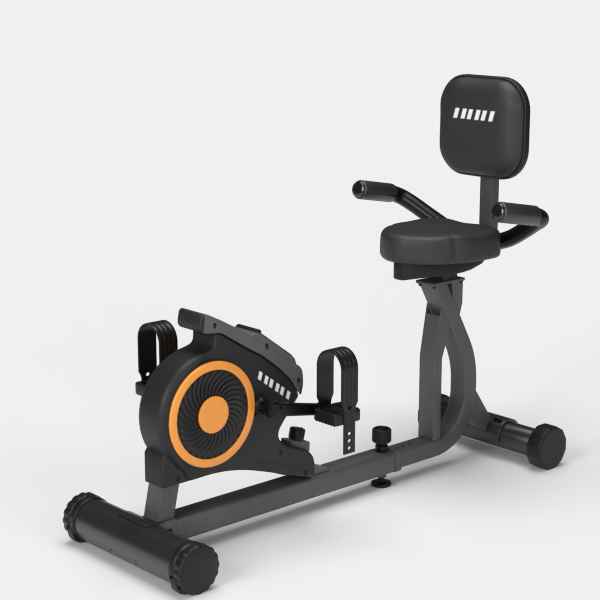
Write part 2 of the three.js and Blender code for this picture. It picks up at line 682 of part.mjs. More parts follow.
/** Twelve-sided levelling cap that stands on one flat, with a spigot that turns in the tube. */
function rearCap() {
  const { inner, outer, sides } = REAR_CAP;
  const start = 180 / sides;
  const corner = REAR_BAR.z / Math.cos(Math.PI / sides);
  const facets = arc(REAR_BAR.x, REAR_BAR.z, corner, start, 360 + start, sides).slice(0, -1);
  const head = extrudeY(facets, -outer, -inner - GAP, {
    depth: outer - inner - GAP - 6,
    bevelEnabled: true,
    bevelSize: 3,
    bevelThickness: 3,
    bevelOffset: -3,
    bevelSegments: 1,
  }).translate(0, -3, 0);
  const spigot = cylinderY(REAR_BAR.radius - WALL - 0.6, REAR_BAR.x, REAR_BAR.z, -inner - 4, -inner + 24, 28);
  return joined(head, spigot);
}

// ---- Seat, backrest and handles -----------------------------------------------------------------------

/** Half of the saddle's plan outline, from the nose tip round the wing to the rear edge. */
const SADDLE_HALF = [
  [770, 8], [773, 22], [780, 38], [792, 56], [812, 80], [836, 98], [862, 113], [890, 124],
  [930, 132], [975, 137], [1012, 133], [1038, 117], [1053, 90], [1058, 50],
];

/** Whole plan outline from its right half. */
function planOutline(right) {
  return [...right.slice().reverse(), ...right.map(([x, y]) => [x, -y])].reverse();
}

function seatCushion() {
  const { bottom, top } = SEAT;
  const round = 12;
  const outline = planOutline(SADDLE_HALF);
  const crown = extrudeZ(outline, bottom + round, top - round, {
    bevelEnabled: true,
    bevelSize: round,
    bevelThickness: round,
    bevelOffset: -round,
    bevelSegments: 3,
  });
  const skirt = extrudeZ(outline, bottom, top - 30);
  return joined(crown, skirt);
}

/** Pan under the cushion: deep at the nose, shallow at the rear, slotted for the backrest arm. */
function seatPan() {
  const half = [[790, 10], [794, 17], [830, 38], [880, 76], [930, 88], [1000, 88], [1030, 74], [1046, 44]];
  const block = extrudeZ(planOutline(half), 510, SEAT.bottom - GAP);
  const belly = [[760, 511], [790, 514], [960, 529], [1040, 549], [1080, 560]];
  const below = extrudeY([[760, 480], [1080, 480], ...belly.reverse()], -120, 120);
  const slot = box(930, 1080, -POST.half - 0.5, POST.half + 0.5, 480, SEAT.bottom + 5);
  const plateRoom = box(880, 1006, -33, 33, 480, TUBE_TOP + 8);
  return cut(block, below, slot, plateRoom);
}

/** Arm and upright of the backrest in one bent rectangular tube. */
function backrestPost() {
  const { front, depth, half, armBottom, top } = POST;
  const rear = front + depth;
  const armTop = armBottom + depth;
  const outer = arc(rear - 30, armBottom + 30, 30, -90, 0, 6);
  const outline = [[936, armBottom], ...outer, [rear, top], [front, top], [front, armTop], [936, armTop]];
  const tubeSolid = extrudeY(outline, -half, half);
  const w = WALL;
  const boreOuter = arc(rear - 30, armBottom + 30, 30 - w, -90, 0, 6);
  const boreTop = [[rear - w, top - w], [front + w, top - w], [front + w, armTop - w]];
  const bore = [[930, armBottom + w], ...boreOuter, ...boreTop, [930, armTop - w]];
  return cut(tubeSolid, extrudeY(bore, -half + w, half - w));
}

/** A backrest slab standing across X, with rounded corners. */
function backSlab(x0, x1, grow, round) {
  const { half, bottom, top, corner } = BACK;
  const z = (bottom + top) / 2;
  const outline = roundedRect(0, z, half + grow, (top - bottom) / 2 + grow, corner, 7);
  const geometry = new THREE.ExtrudeGeometry(shapeOf(outline), {
    depth: x1 - x0 - 2 * round,
    bevelEnabled: true,
    bevelSize: round,
    bevelThickness: round,
    bevelOffset: -round,
    bevelSegments: 3,
  });
  return geometry.rotateX(Math.PI / 2).rotateZ(Math.PI / 2).translate(x0 + round, 0, 0);
}

const backCushion = () => backSlab(BACK.front, BACK.shell - GAP, -2, 12);
const backShell = () => backSlab(BACK.shell, BACK.rear, 0, 5);

/** Half of the handlebar's centre line on the rider's left, from the middle out to the grip's end. */
const BAR_LEFT = [[1086, 0, 576.8], [1086, -48, 577], [1080, -100, 592], [1067, -155, 620], [1052, -205, 649],
  [1040, -232, 664], [1018, -240, 674], [985, -238, 681], [885, -232, 699]];

function barCurve() {
  const left = BAR_LEFT.map((p) => new THREE.Vector3(...p));
  const right = left.slice(1).map((p) => new THREE.Vector3(p.x, -p.y, p.z));
  return new THREE.CatmullRomCurve3([...left.slice().reverse(), ...right], false, 'centripetal');
}

const handlebar = () => roundBar(barCurve(), BAR.radius, 40, 14);

/** Foam grip and its end plug run along the last straight of the bar. */
function gripLine(from, to) {
  const [a, b] = [new THREE.Vector3(1010, -239.6, 676.3), new THREE.Vector3(885, -232, 699)];
  const direction = b.clone().sub(a).normalize();
  const at = (distance) => b.clone().addScaledVector(direction, distance);
  return new THREE.LineCurve3(at(from), at(to));
}

function grip() {
  const sleeve = roundBar(gripLine(-112, 0.5), BAR.grip, 1, 24);
  return cut(sleeve, roundBar(gripLine(-125, 10), BAR.radius + 0.9, 1, 24));
}

/** Shiny end plug: a flat collar over the grip's end. */
const gripPlug = () => roundBar(gripLine(0.8, 6), BAR.plug + 4, 1, 24);

/** Half clamp that holds the bar down on the backrest arm. */
function barClamp() {
  const [x, , z] = BAR_LEFT[0];
  const base = POST.armBottom + POST.depth + GAP;
  const [inner, outer] = [BAR.radius + 0.4, BAR.radius + 2.6];
  const over = arc(x, z, outer, 0, 180, 12);
  const under = arc(x, z, inner, 180, 0, 12);
  const feet = [[x - outer, base], [x - inner, base]];
  return extrudeY([...over, ...feet, ...under, [x + inner, base], [x + outer, base]].reverse(), -17, 17);
}

// ---- Assembly -----------------------------------------------------------------------------------------

add('front_stabilizer', frontStabilizer(), coatDark);
addPair('front_cap', frontCap(), blackPlastic);
addPair('transport_wheel', caster(), rubber);
add('front_saddle', frontSaddle(), coat);
addPair('front_bolt', frontBolt(), steel);
add('front_upright', frontUpright(), coat);
add('main_rail', mainRail(), coat);
add('support_foot', supportFoot(), rubber);
add('lock_knob', lockKnob(), blackPlastic);

const shell = casingShell();
add('casing_left', casingHalf(shell, -100, -GAP / 2), shellDark);
add('casing_right', casingHalf(shell, GAP / 2, 100), shellDark);
add('spine_cover', spineCover(), shellGrey);
add('monitor_housing', monitorHousing(), blackPlastic);
add('monitor_screen', monitorScreen(), glass);
add('monitor_button', monitorButton(), shellGrey);
addPair('ring_trim', ringTrim(), orange);
addPair('side_disc', sideDisc(), shellDark);
addPair('badge', badge(), orange);
addPair('bearing_cover', bearingCover(), blackPlastic);
add('tension_base', tensionBase(), shellGrey);
add('tension_knob', tensionKnob(), blackPlastic);
add('casing_tab', casingTab(), shellGrey);

add('drive_frame', driveFrame(), iron);
add('flywheel', flywheel(), iron);
add('drive_pulley', drivePulley(), blackPlastic);
add('drive_belt', driveBelt(), rubber);
add('magnet_holder', magnetHolder(), iron);
add('crank_axle', crankAxle(), steel);
add('crank_left', onCrank(crankArm(), 0), blackPlastic);
add('crank_right', onCrank(mirrorY(crankArm()), 180), blackPlastic);
add('pedal_left', atPedal(pedal(), 1), blackPlastic);
add('pedal_right', atPedal(mirrorY(pedal()), -1), blackPlastic);
add('strap_left', atPedal(strap(), 1), rubber);
add('strap_right', atPedal(mirrorY(strap()), -1), rubber);

add('curved_tube', curvedTube(), coat);
add('seat_post', seatPost(), coat);
add('seat_plate', seatPlate(), coat);
add('rear_leg', rearLeg(), coat);
add('rear_saddle', rearSaddle(), coat);
add('rear_stabilizer', rearStabilizer(), coatDark);
addPair('rear_cap', rearCap(), blackPlastic);
add('seat_pan', seatPan(), blackPlastic);
add('seat_cushion', seatCushion(), leather);
add('backrest_post', backrestPost(), coat);
add('backrest_shell', backShell(), blackPlastic);
add('backrest_cushion', backCushion(), leather);
add('handlebar', handlebar(), coatDark);
add('bar_clamp', barClamp(), coat);
addPair('grip', grip(), foam);
addPair('grip_plug', gripPlug(), steel);

export default bike;
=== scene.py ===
"""Recumbent exercise bike: its visible pieces and finishes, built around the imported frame."""

import logging
import math
from dataclasses import dataclass
from enum import Enum
from typing import Callable, Iterable, Sequence

import bmesh
import bpy
import numpy as np
from mathutils import Matrix, Vector


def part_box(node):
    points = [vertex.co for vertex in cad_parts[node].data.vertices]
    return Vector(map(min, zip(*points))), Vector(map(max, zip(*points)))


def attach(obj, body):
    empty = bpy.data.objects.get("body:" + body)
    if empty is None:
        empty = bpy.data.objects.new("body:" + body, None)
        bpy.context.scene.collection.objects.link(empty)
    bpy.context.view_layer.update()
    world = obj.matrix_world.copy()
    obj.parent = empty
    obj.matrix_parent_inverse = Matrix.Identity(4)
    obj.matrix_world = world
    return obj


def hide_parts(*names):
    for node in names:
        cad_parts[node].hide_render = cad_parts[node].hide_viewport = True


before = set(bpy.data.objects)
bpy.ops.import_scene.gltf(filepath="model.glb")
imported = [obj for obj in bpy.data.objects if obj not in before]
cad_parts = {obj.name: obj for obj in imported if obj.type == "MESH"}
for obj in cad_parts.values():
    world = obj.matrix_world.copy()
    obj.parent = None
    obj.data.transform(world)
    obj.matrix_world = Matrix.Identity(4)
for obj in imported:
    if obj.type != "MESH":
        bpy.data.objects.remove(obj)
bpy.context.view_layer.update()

LOG = logging.getLogger("exercise_bike")
MM = 0.001
Flat = Sequence[tuple[float, float]]


def middle(node: str) -> Vector:
    """Centre of a CAD node's box."""
    low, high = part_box(node)
    return (low + high) / 2


FRONT_AXLE = middle("front_stabilizer").x  # outlines below count X from here, in millimetres


def row(x: float, y: float, z: float) -> tuple[float, float, float]:
    """A point given in millimetres from the front stabilizer's axis, in the row frame."""
    return (FRONT_AXLE + x * MM, y * MM, z * MM)


class Plane(Enum):
    """The plane that an outline is drawn in; the other axis is the depth."""

    SIDE = "xz"
    PLAN = "xy"
    FRONT = "yz"

    def lift(self, u: float, v: float, depth: float) -> tuple[float, float, float]:
        """The 3-D point of (u, v) at a depth, from millimetres.

        Args:
            u: First outline coordinate.
            v: Second outline coordinate.
            depth: Position along the other axis.

        Returns:
            The point.
        """
        if self is Plane.SIDE:
            return row(u, depth, v)
        if self is Plane.PLAN:
            return row(u, v, depth)
        return row(depth, u, v)


# ---- Outlines ------------------------------------------------------------------------------------


def arc(cx: float, cy: float, r: float, a0: float, a1: float, steps: int = 12) -> list[tuple[float, float]]:
    """Points on an arc from angle a0 to a1, in degrees."""
    turns = [math.radians(a0 + (a1 - a0) * i / steps) for i in range(steps + 1)]
    return [(cx + r * math.cos(t), cy + r * math.sin(t)) for t in turns]


def full_turn(sides: int) -> list[float]:
    """Even angles round a full turn."""
    return [2 * math.pi * k / sides for k in range(sides)]


def rounded_rect(cx: float, cy: float, hx: float, hy: float, r: float,
                 steps: int = 6) -> list[tuple[float, float]]:
    """Outline of a rectangle with rounded corners.

    Args:
        cx: Centre, first axis.
        cy: Centre, second axis.
        hx: Half width, first axis.
        hy: Half width, second axis.
        r: Corner radius.
        steps: Steps in each corner.

    Returns:
        The points.
    """
    x, y = hx - r, hy - r
    corners = [(x, y, 0), (-x, y, 90), (-x, -y, 180), (x, -y, 270)]
    return [p for dx, dy, a in corners for p in arc(cx + dx, cy + dy, r, a, a + 90, steps)]


def area(outline: Flat) -> float:
    """Signed area of a closed outline."""
    pairs = zip(outline, list(outline[1:]) + [outline[0]])
    return sum(a[0] * b[1] - b[0] * a[1] for a, b in pairs) / 2


def tidy(outline: Flat) -> list[tuple[float, float]]:
    """The outline turned anticlockwise, without repeated points."""
    points = list(outline) if area(outline) > 0 else list(reversed(outline))
    return [p for i, p in enumerate(points) if math.dist(p, points[i - 1]) > 0.05]


def smooth(outline: Flat, rounds: int = 2, keep: float = 1.0) -> list[tuple[float, float]]:
    """Corner-cut outline: each round swaps a corner for two points at a quarter of its sides.

    Args:
        outline: Closed outline.
        rounds: Number of rounds.
        keep: Scales the longest cut, 6 mm.

    Returns:
        The points.
    """
    points = list(outline)
    for _ in range(rounds):
        cut = []
        for a, b in zip(points, points[1:] + [points[0]]):
            t = min(0.25, 6.0 * keep / max(math.dist(a, b), 1e-6))
            cut.append((a[0] + (b[0] - a[0]) * t, a[1] + (b[1] - a[1]) * t))
            cut.append((b[0] - (b[0] - a[0]) * t, b[1] - (b[1] - a[1]) * t))
        points = cut
    return points


def inset(outline: Flat, amounts: Sequence[float]) -> list[tuple[float, float]]:
    """Moves each point of an anticlockwise outline inwards by its own amount.

    Args:
        outline: Anticlockwise outline.
        amounts: One distance per point.

    Returns:
        The points.
    """
    points = np.array(outline, float)
    before, after = points - np.roll(points, 1, 0), np.roll(points, -1, 0) - points
    before /= np.linalg.norm(before, axis=1)[:, None]
    after /= np.linalg.norm(after, axis=1)[:, None]
    inward = np.stack([-(before + after)[:, 1], (before + after)[:, 0]], 1)
    inward /= np.maximum(np.linalg.norm(inward, axis=1), 1e-6)[:, None]
    cosine = np.clip((inward * np.stack([-before[:, 1], before[:, 0]], 1)).sum(1), 0.6, 1.0)
    return [tuple(p) for p in points + inward * (np.array(amounts) / cosine)[:, None]]


# ---- Meshes --------------------------------------------------------------------------------------


def settled(mesh: bpy.types.Mesh) -> bpy.types.Mesh:
    """Merges doubles and turns every face outwards.

    Args:
        mesh: Mesh to clean in place.

    Returns:
        The mesh.
    """
    form = bmesh.new()
    form.from_mesh(mesh)
    bmesh.ops.remove_doubles(form, verts=form.verts, dist=2e-6)
    bmesh.ops.dissolve_degenerate(form, edges=form.edges, dist=1e-6)
    bmesh.ops.recalc_face_normals(form, faces=form.faces)
    form.to_mesh(mesh)
    form.free()
    return mesh


def skinned(rings: Sequence[Sequence[Sequence[float]]], loop: bool = False) -> bpy.types.Mesh:
    """Closed skin over rings of points.

    Args:
        rings: Rings with the same number of points each, in order.
        loop: Join the last ring to the first in place of two end caps.

    Returns:
        The mesh, with its faces outwards.
    """
    count = len(rings[0])
    points = [tuple(p) for ring in rings for p in ring]
    faces: list[tuple[int, ...]] = []
    spans = len(rings) if loop else len(rings) - 1
    for i in range(spans):
        a, b = i * count, ((i + 1) % len(rings)) * count
        faces += [(a + k, a + (k + 1) % count, b + (k + 1) % count, b + k) for k in range(count)]
    if not loop:
        last = (len(rings) - 1) * count
        faces += [tuple(reversed(range(count))), tuple(range(last, last + count))]
    mesh = bpy.data.meshes.new("form")
    mesh.from_pydata(points, [], faces)
    return settled(mesh)


def slab(plane: Plane, outline: Flat, low: float, high: float, edge: float = 1.5,
         steps: int = 3) -> bpy.types.Mesh:
    """Outline raised from low to high, with both of its rims rounded by edge.

    Args:
        plane: Plane of the outline.
        outline: Closed outline in millimetres.
        low: Lower depth.
        high: Upper depth.
        edge: Rounding of the rims; 0 leaves them sharp.
        steps: Steps in each rounding.

    Returns:
        The mesh.
    """
    points = tidy(outline)
    turns = [math.pi / 2 * i / steps for i in range(steps + 1)] if edge else [0.0]
    rim = [(edge * (1 - math.sin(t)), edge * (1 - math.cos(t))) for t in turns]
    levels = [(low + d, e) for e, d in rim] + [(high - d, e) for e, d in reversed(rim)]
    rings = [[plane.lift(u, v, at) for u, v in inset(points, [e] * len(points))] for at, e in levels]
    return skinned(rings)


def turned(profile: Flat, x: float, z: float, sides: int = 64) -> bpy.types.Mesh:
    """Solid turned about the line along Y through (x, z), from (radius, y) points in order.

    Args:
        profile: Points of the profile; a solid one starts and ends at radius 0.
        x: Axis position along X, in millimetres from the front axle.
        z: Axis height, in millimetres.
        sides: Number of faces round the axis.

    Returns:
        The mesh.
    """
    turns = full_turn(sides)
    rings = [[row(x + r * math.cos(t), y, z + r * math.sin(t)) for t in turns] for r, y in profile]
    return skinned(rings, loop=profile[0][0] > 0)


def rod(radius: float, x: float, z: float, y0: float, y1: float, edge: float = 1.0,
        sides: int = 48) -> bpy.types.Mesh:
    """Round bar along Y with its rims chamfered."""
    profile = [(0, y0), (radius - edge, y0), (radius, y0 + edge), (radius, y1 - edge), (radius - edge, y1),
               (0, y1)]
    return turned(profile, x, z, sides)


def swept(path: Sequence[Vector], section: Flat, side: Vector | None = None,
          scale: Callable[[float], float] | None = None) -> bpy.types.Mesh:
    """Section carried along a path.

    Args:
        path: Points of the centre line, in the row frame.
        section: Outline in metres, as (across, up) offsets.
        side: Fixed direction of "across"; left out, the frame rolls along the path.
        scale: Width factor by share of the path's length.

    Returns:
        The closed mesh.
    """
    points = [Vector(p) for p in path]
    rings, across = [], side
    for i, p in enumerate(points):
        along = (points[min(i + 1, len(points) - 1)] - points[max(i - 1, 0)]).normalized()
        if across is None:
            across = along.orthogonal().normalized()
        if side is None:
            across = (across - along * across.dot(along)).normalized()
        up = along.cross(across).normalized()
        k = scale(i / (len(points) - 1)) if scale else 1.0
        rings.append([p + across * (u * k) + up * v for u, v in section])
    return skinned(rings)


def ring_section(radius: float, sides: int = 28) -> list[tuple[float, float]]:
    """Round section of a bar, in metres."""
    return arc(0, 0, radius * MM, 0, 360, sides)[:-1]


def merged(*meshes: bpy.types.Mesh) -> bpy.types.Mesh:
    """One mesh that holds several separate closed shells.

    Args:
        meshes: Closed shells.

    Returns:
        The mesh.
    """
    form = bmesh.new()
    for mesh in meshes:
        form.from_mesh(mesh)
    out = bpy.data.meshes.new("form")
    form.to_mesh(out)
    form.free()
    return out


def evaluated(piece: bpy.types.Object) -> bpy.types.Mesh:
    """The mesh of an object with its modifiers applied; the object is removed.

    Args:
        piece: Object with modifiers.

    Returns:
        The mesh.
    """
    graph = bpy.context.evaluated_depsgraph_get()
    mesh = bpy.data.meshes.new_from_object(piece.evaluated_get(graph), depsgraph=graph)
    bpy.data.objects.remove(piece)
    return mesh


def bench(mesh: bpy.types.Mesh) -> bpy.types.Object:
    """A mesh on a temporary object, for modifiers.

    Args:
        mesh: Mesh to put on it.

    Returns:
        The object.
    """
    piece = bpy.data.objects.new("bench", mesh)
    bpy.context.scene.collection.objects.link(piece)
    return piece


class Join(Enum):
    """How two solids are combined."""

    CUT = "DIFFERENCE"
    WELD = "UNION"
    COMMON = "INTERSECT"


def combined(how: Join, body: bpy.types.Mesh, *tools: bpy.types.Mesh) -> bpy.types.Mesh:
    """Boolean of a closed mesh with others.

    Args:
        how: Kind of boolean.
        body: Solid that is changed.
        tools: Solids that change it.

    Returns:
        The mesh.
    """
    piece = bench(body)
    benches = [bench(tool) for tool in tools]
    for tool in benches:
        step = piece.modifiers.new("join", "BOOLEAN")
        step.operation = how.value
        step.object = tool
        step.solver = "EXACT"
    mesh = evaluated(piece)
    for tool in benches:
        bpy.data.objects.remove(tool)
    return settled(mesh)


def eased(mesh: bpy.types.Mesh, width: float, segments: int = 3, angle: float = 30) -> bpy.types.Mesh:
    """Rounds the edges sharper than an angle, by a width in millimetres.

    Args:
        mesh: Closed mesh.
        width: Width of the rounding, in millimetres.
        segments: Steps across it.
        angle: Edges sharper than this are rounded, in degrees.

    Returns:
        The mesh.
    """
    form = bmesh.new()
    form.from_mesh(mesh)
    bmesh.ops.dissolve_limit(form, angle_limit=math.radians(0.6), verts=form.verts, edges=form.edges)
    form.to_mesh(mesh)
    form.free()
    piece = bench(mesh)
    step = piece.modifiers.new("edges", "BEVEL")
    step.width = width * MM
    step.segments = segments
    step.limit_method = "ANGLE"
    step.angle_limit = math.radians(angle)
    step.harden_normals = False
    return evaluated(piece)


def copied(node: str) -> bpy.types.Mesh:
    """A CAD node's mesh with its doubles merged.

    Args:
        node: Name of the CAD node.

    Returns:
        The mesh.
    """
    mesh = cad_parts[node].data.copy()
    mesh.materials.clear()
    form = bmesh.new()
    form.from_mesh(mesh)
    bmesh.ops.remove_doubles(form, verts=form.verts, dist=1e-5)
    form.to_mesh(mesh)
    form.free()
    return mesh


def flipped(mesh: bpy.types.Mesh) -> bpy.types.Mesh:
    """Mirror image across the bike's middle plane.

    Args:
        mesh: Form of the left side.

    Returns:
        The mesh.
    """
    out = mesh.copy()
    out.transform(Matrix.Diagonal((1, -1, 1, 1)))
    return settled(out)


def centred(*meshes: bpy.types.Mesh) -> None:
    """Moves forms drawn round the front axle to the origin, along X."""
    for mesh in meshes:
        mesh.transform(Matrix.Translation((-FRONT_AXLE, 0, 0)))


# ---- Shaders -------------------------------------------------------------------------------------


class Graph:
    """Node tree of one material."""

    def __init__(self, name: str) -> None:
        """Starts a material with an empty tree."""
        self.material = bpy.data.materials.new(name)
        self.material.use_nodes = True
        self.tree = self.material.node_tree
        self.tree.nodes.clear()

    def node(self, kind: str, settings: dict | None = None, inputs: dict | None = None) -> bpy.types.Node:
        """Adds a node.

        Args:
            kind: Node type.
            settings: Properties, set first; "stops" holds a ramp's (position, grey) pairs.
            inputs: Values, sockets or Num by socket name or index.

        Returns:
            The node.
        """
        made = self.tree.nodes.new(kind)
        for key, value in (settings or {}).items():
            if key == "stops":
                ramp = made.color_ramp
                for element, (at, grey) in zip([ramp.elements[0], ramp.elements[-1]], [value[0], value[-1]]):
                    element.position, element.color = at, (grey, grey, grey, 1)
                for at, grey in value[1:-1]:
                    ramp.elements.new(at).color = (grey, grey, grey, 1)
            else:
                setattr(made, key, value)
        for key, value in (inputs or {}).items():
            if isinstance(value, Num):
                self.tree.links.new(value.socket, made.inputs[key])
            elif isinstance(value, bpy.types.NodeSocket):
                self.tree.links.new(value, made.inputs[key])
            else:
                made.inputs[key].default_value = value
        return made

    def place(self) -> bpy.types.NodeSocket:
        """Object coordinates."""
        return self.node("ShaderNodeTexCoord").outputs["Object"]

    def noise(self, scale: float, detail: float = 2.0, rough: float = 0.5,
              where: bpy.types.NodeSocket | None = None) -> "Num":
        """Noise from 0 to 1 at a scale per metre."""
        inputs = {"Scale": scale, "Detail": detail, "Roughness": rough, "Vector": where or self.place()}
        return Num(self, self.node("ShaderNodeTexNoise", None, inputs).outputs["Fac"])

    def cells(self, scale: float, feature: str = "DISTANCE_TO_EDGE") -> "Num":
        """Distance in a cell pattern at a scale per metre."""
        inputs = {"Scale": scale, "Vector": self.place(), "Randomness": 0.9}
        return Num(self, self.node("ShaderNodeTexVoronoi", {"feature": feature}, inputs).outputs["Distance"])

    def ramp(self, value: "Num", stops: Sequence[tuple[float, float]]) -> "Num":
        """A value sent through grey stops."""
        made = self.node("ShaderNodeValToRGB", {"stops": stops}, {"Fac": value})
        return Num(self, made.outputs["Color"])

    def blend(self, share: "Num", a: Sequence[float], b: Sequence[float]) -> bpy.types.NodeSocket:
        """Colour between a and b."""
        inputs = {0: share, 6: (*a, 1), 7: (*b, 1)}
        return self.node("ShaderNodeMix", {"data_type": "RGBA"}, inputs).outputs[2]

    def bump(self, height: "Num", depth: float, strength: float = 1.0) -> bpy.types.NodeSocket:
        """Normal from a height; depth is in millimetres."""
        inputs = {"Height": height, "Distance": depth * MM, "Strength": strength}
        return self.node("ShaderNodeBump", None, inputs).outputs["Normal"]

    def surface(self, inputs: dict) -> bpy.types.Material:
        """Finishes the tree with a principled surface.

        Args:
            inputs: Values and links of the principled shader.

        Returns:
            The material.
        """
        shader = self.node("ShaderNodeBsdfPrincipled", None, inputs)
        self.node("ShaderNodeOutputMaterial", None, {"Surface": shader.outputs["BSDF"]})
        return self.material


class Num:
    """A shader number that adds Math nodes as it is worked with."""

    def __init__(self, graph: Graph, socket: bpy.types.NodeSocket) -> None:
        """Wraps a socket."""
        self.graph, self.socket = graph, socket

    def _math(self, operation: str, a: "Num | float", b: "Num | float") -> "Num":
        """Math node on two values."""
        return Num(self.graph,
                   self.graph.node("ShaderNodeMath", {"operation": operation}, {0: a, 1: b}).outputs[0])

    def __add__(self, other: "Num | float") -> "Num":
        """Sum."""
        return self._math("ADD", self, other)

    def __radd__(self, other: float) -> "Num":
        """Sum."""
        return self._math("ADD", other, self)

    def __sub__(self, other: "Num | float") -> "Num":
        """Difference."""
        return self._math("SUBTRACT", self, other)

    def __rsub__(self, other: float) -> "Num":
        """Difference."""
        return self._math("SUBTRACT", other, self)

    def __mul__(self, other: "Num | float") -> "Num":
        """Product."""
        return self._math("MULTIPLY", self, other)

    def __rmul__(self, other: float) -> "Num":
        """Product."""
        return self._math("MULTIPLY", other, self)


@dataclass(frozen=True)
class Finish:
    """Surface with a slow change of tone, a change of gloss, and a fine moulded or sprayed texture."""

    slot: str
    tone: tuple[float, float, float]
    deep: tuple[float, float, float]
    gloss: tuple[float, float]
    grain: float = 900.0
    depth: float = 0.02
    metal: float = 0.0
    coat: float = 0.0
    specular: float = 0.5

    def height(self, graph: Graph) -> Num:
        """Height of the fine texture, from 0 to 1."""
        return graph.noise(self.grain, 3.0, 0.6)

    def material(self) -> bpy.types.Material:
        """The material of this finish.

        Returns:
            The material.
        """
        graph = Graph(f"{self.slot}_finish")
        slow = graph.noise(14.0, 3.0, 0.55)
        marks = graph.noise(120.0, 4.0, 0.65)
        share = graph.ramp(slow * 0.7 + marks * 0.3, [(0.3, 0.0), (0.7, 1.0)])
        low, high = self.gloss
        return graph.surface({
            "Base Color": graph.blend(share, self.deep, self.tone),
            "Roughness": marks * (high - low) + low,
            "Normal": graph.bump(self.height(graph), self.depth),
            "Metallic": self.metal,
            "Coat Weight": self.coat,
            "Coat Roughness": 0.2,
            "Specular IOR Level": self.specular,
        })


@dataclass(frozen=True)
class LeatherFinish(Finish):
    """Synthetic leather: rounded pebbles with fine creases between them."""

    def height(self, graph: Graph) -> Num:
        """Pebbles and creases."""
        pebbles = graph.ramp(graph.cells(self.grain), [(0.0, 0.0), (0.12, 0.8), (0.5, 1.0)])
        return pebbles * 0.8 + graph.noise(self.grain * 2.5, 2.0) * 0.2


@dataclass(frozen=True)
class FoamFinish(Finish):
    """Closed-cell foam: small open pits in a soft skin."""

    def height(self, graph: Graph) -> Num:
        """Pits between cells."""
        pits = graph.ramp(graph.cells(self.grain, "F1"), [(0.1, 0.0), (0.35, 1.0)])
        return pits * 0.6 + graph.noise(self.grain * 0.4, 3.0) * 0.4


@dataclass(frozen=True)
class TurnedFinish(Finish):
    """Bare metal with fine tool marks."""

    def height(self, graph: Graph) -> Num:
        """Lines that run along Y."""
        stretch = graph.node("ShaderNodeMapping", None, {"Vector": graph.place(), "Scale": (1.0, 0.06, 1.0)})
        return graph.noise(self.grain, 2.0, 0.5, stretch.outputs["Vector"])


FINISHES: dict[str, Finish] = {
    f.slot: f
    for f in [
        Finish("frame_coat", (0.075, 0.075, 0.077), (0.058, 0.058, 0.06), (0.36, 0.48), 1100, 0.03,
               specular=0.4),
        Finish("gloss_coat", (0.015, 0.015, 0.016), (0.01, 0.01, 0.011), (0.27, 0.36), 700, 0.02,
               specular=0.75),
        Finish("casing_plastic", (0.015, 0.015, 0.016), (0.0105, 0.0105, 0.011), (0.42, 0.54), 1600, 0.03,
               specular=0.32),
        Finish("grey_plastic", (0.1, 0.1, 0.102), (0.08, 0.08, 0.082), (0.45, 0.56), 1600, 0.03,
               specular=0.35),
        Finish("black_plastic", (0.01, 0.01, 0.01), (0.006, 0.006, 0.006), (0.36, 0.48), 1500, 0.025,
               specular=0.28),
        Finish("black_coat", (0.004, 0.004, 0.004), (0.003, 0.003, 0.003), (0.24, 0.32), 800, 0.015,
               specular=0.2),
        Finish("rubber", (0.009, 0.009, 0.009), (0.006, 0.006, 0.006), (0.3, 0.42), 500, 0.03, specular=0.3),
        Finish("accent_plastic", (0.84, 0.31, 0.045), (0.8, 0.28, 0.038), (0.36, 0.46), 1400, 0.015,
               coat=0.15),
        TurnedFinish("steel", (0.55, 0.56, 0.57), (0.45, 0.46, 0.47), (0.22, 0.34), 1500, 0.01, metal=1.0),
        TurnedFinish("cast_iron", (0.2, 0.2, 0.2), (0.14, 0.14, 0.14), (0.4, 0.55), 900, 0.04, metal=1.0),
        Finish("screen_glass", (0.02, 0.026, 0.024), (0.014, 0.018, 0.017), (0.08, 0.12), 60, 0.005,
               coat=0.6),
        LeatherFinish("leather", (0.025, 0.025, 0.026), (0.018, 0.018, 0.019), (0.38, 0.48), 620, 0.12,
                      specular=0.4),
        FoamFinish("foam", (0.016, 0.016, 0.016), (0.011, 0.011, 0.011), (0.34, 0.46), 1000, 0.08,
                   specular=0.85),
        Finish("plug_plastic", (0.008, 0.008, 0.008), (0.005, 0.005, 0.005), (0.1, 0.16), 400, 0.01,
               coat=0.8),
    ]
}
MATERIALS = {slot: finish.material() for slot, finish in FINISHES.items()}


def show(name: str, mesh: bpy.types.Mesh, slot: str, body: str, *nodes: str,
         sharp: float = 32) -> bpy.types.Object:
    """Puts a finished piece in the scene.

    Args:
        name: The piece's name.
        mesh: Its mesh, in the row frame.
        slot: The finish, named as in the record.
        body: The CAD body that it rides on.
        nodes: The CAD nodes that it stands for.
        sharp: Edges above this angle stay sharp, in degrees.

    Returns:
        The object.
    """
    mesh.name = name
    mesh.materials.clear()
    mesh.materials.append(MATERIALS[slot])
    mesh.polygons.foreach_set("use_smooth", [True] * len(mesh.polygons))
    mesh.set_sharp_from_angle(angle=math.radians(sharp))
    piece = bpy.data.objects.new(name, mesh)
    bpy.context.scene.collection.objects.link(piece)
    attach(piece, body)
    if nodes:
        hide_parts(*nodes)
    return piece


def dress(slot: str, *nodes: str) -> None:
    """Gives CAD nodes whose shape is right their finish.

    Args:
        slot: The finish.
        nodes: The CAD nodes.
    """
    for node in nodes:
        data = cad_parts[node].data
        data.materials.clear()
        data.materials.append(MATERIALS[slot])


# ---- Repeated shapes -----------------------------------------------------------------------------


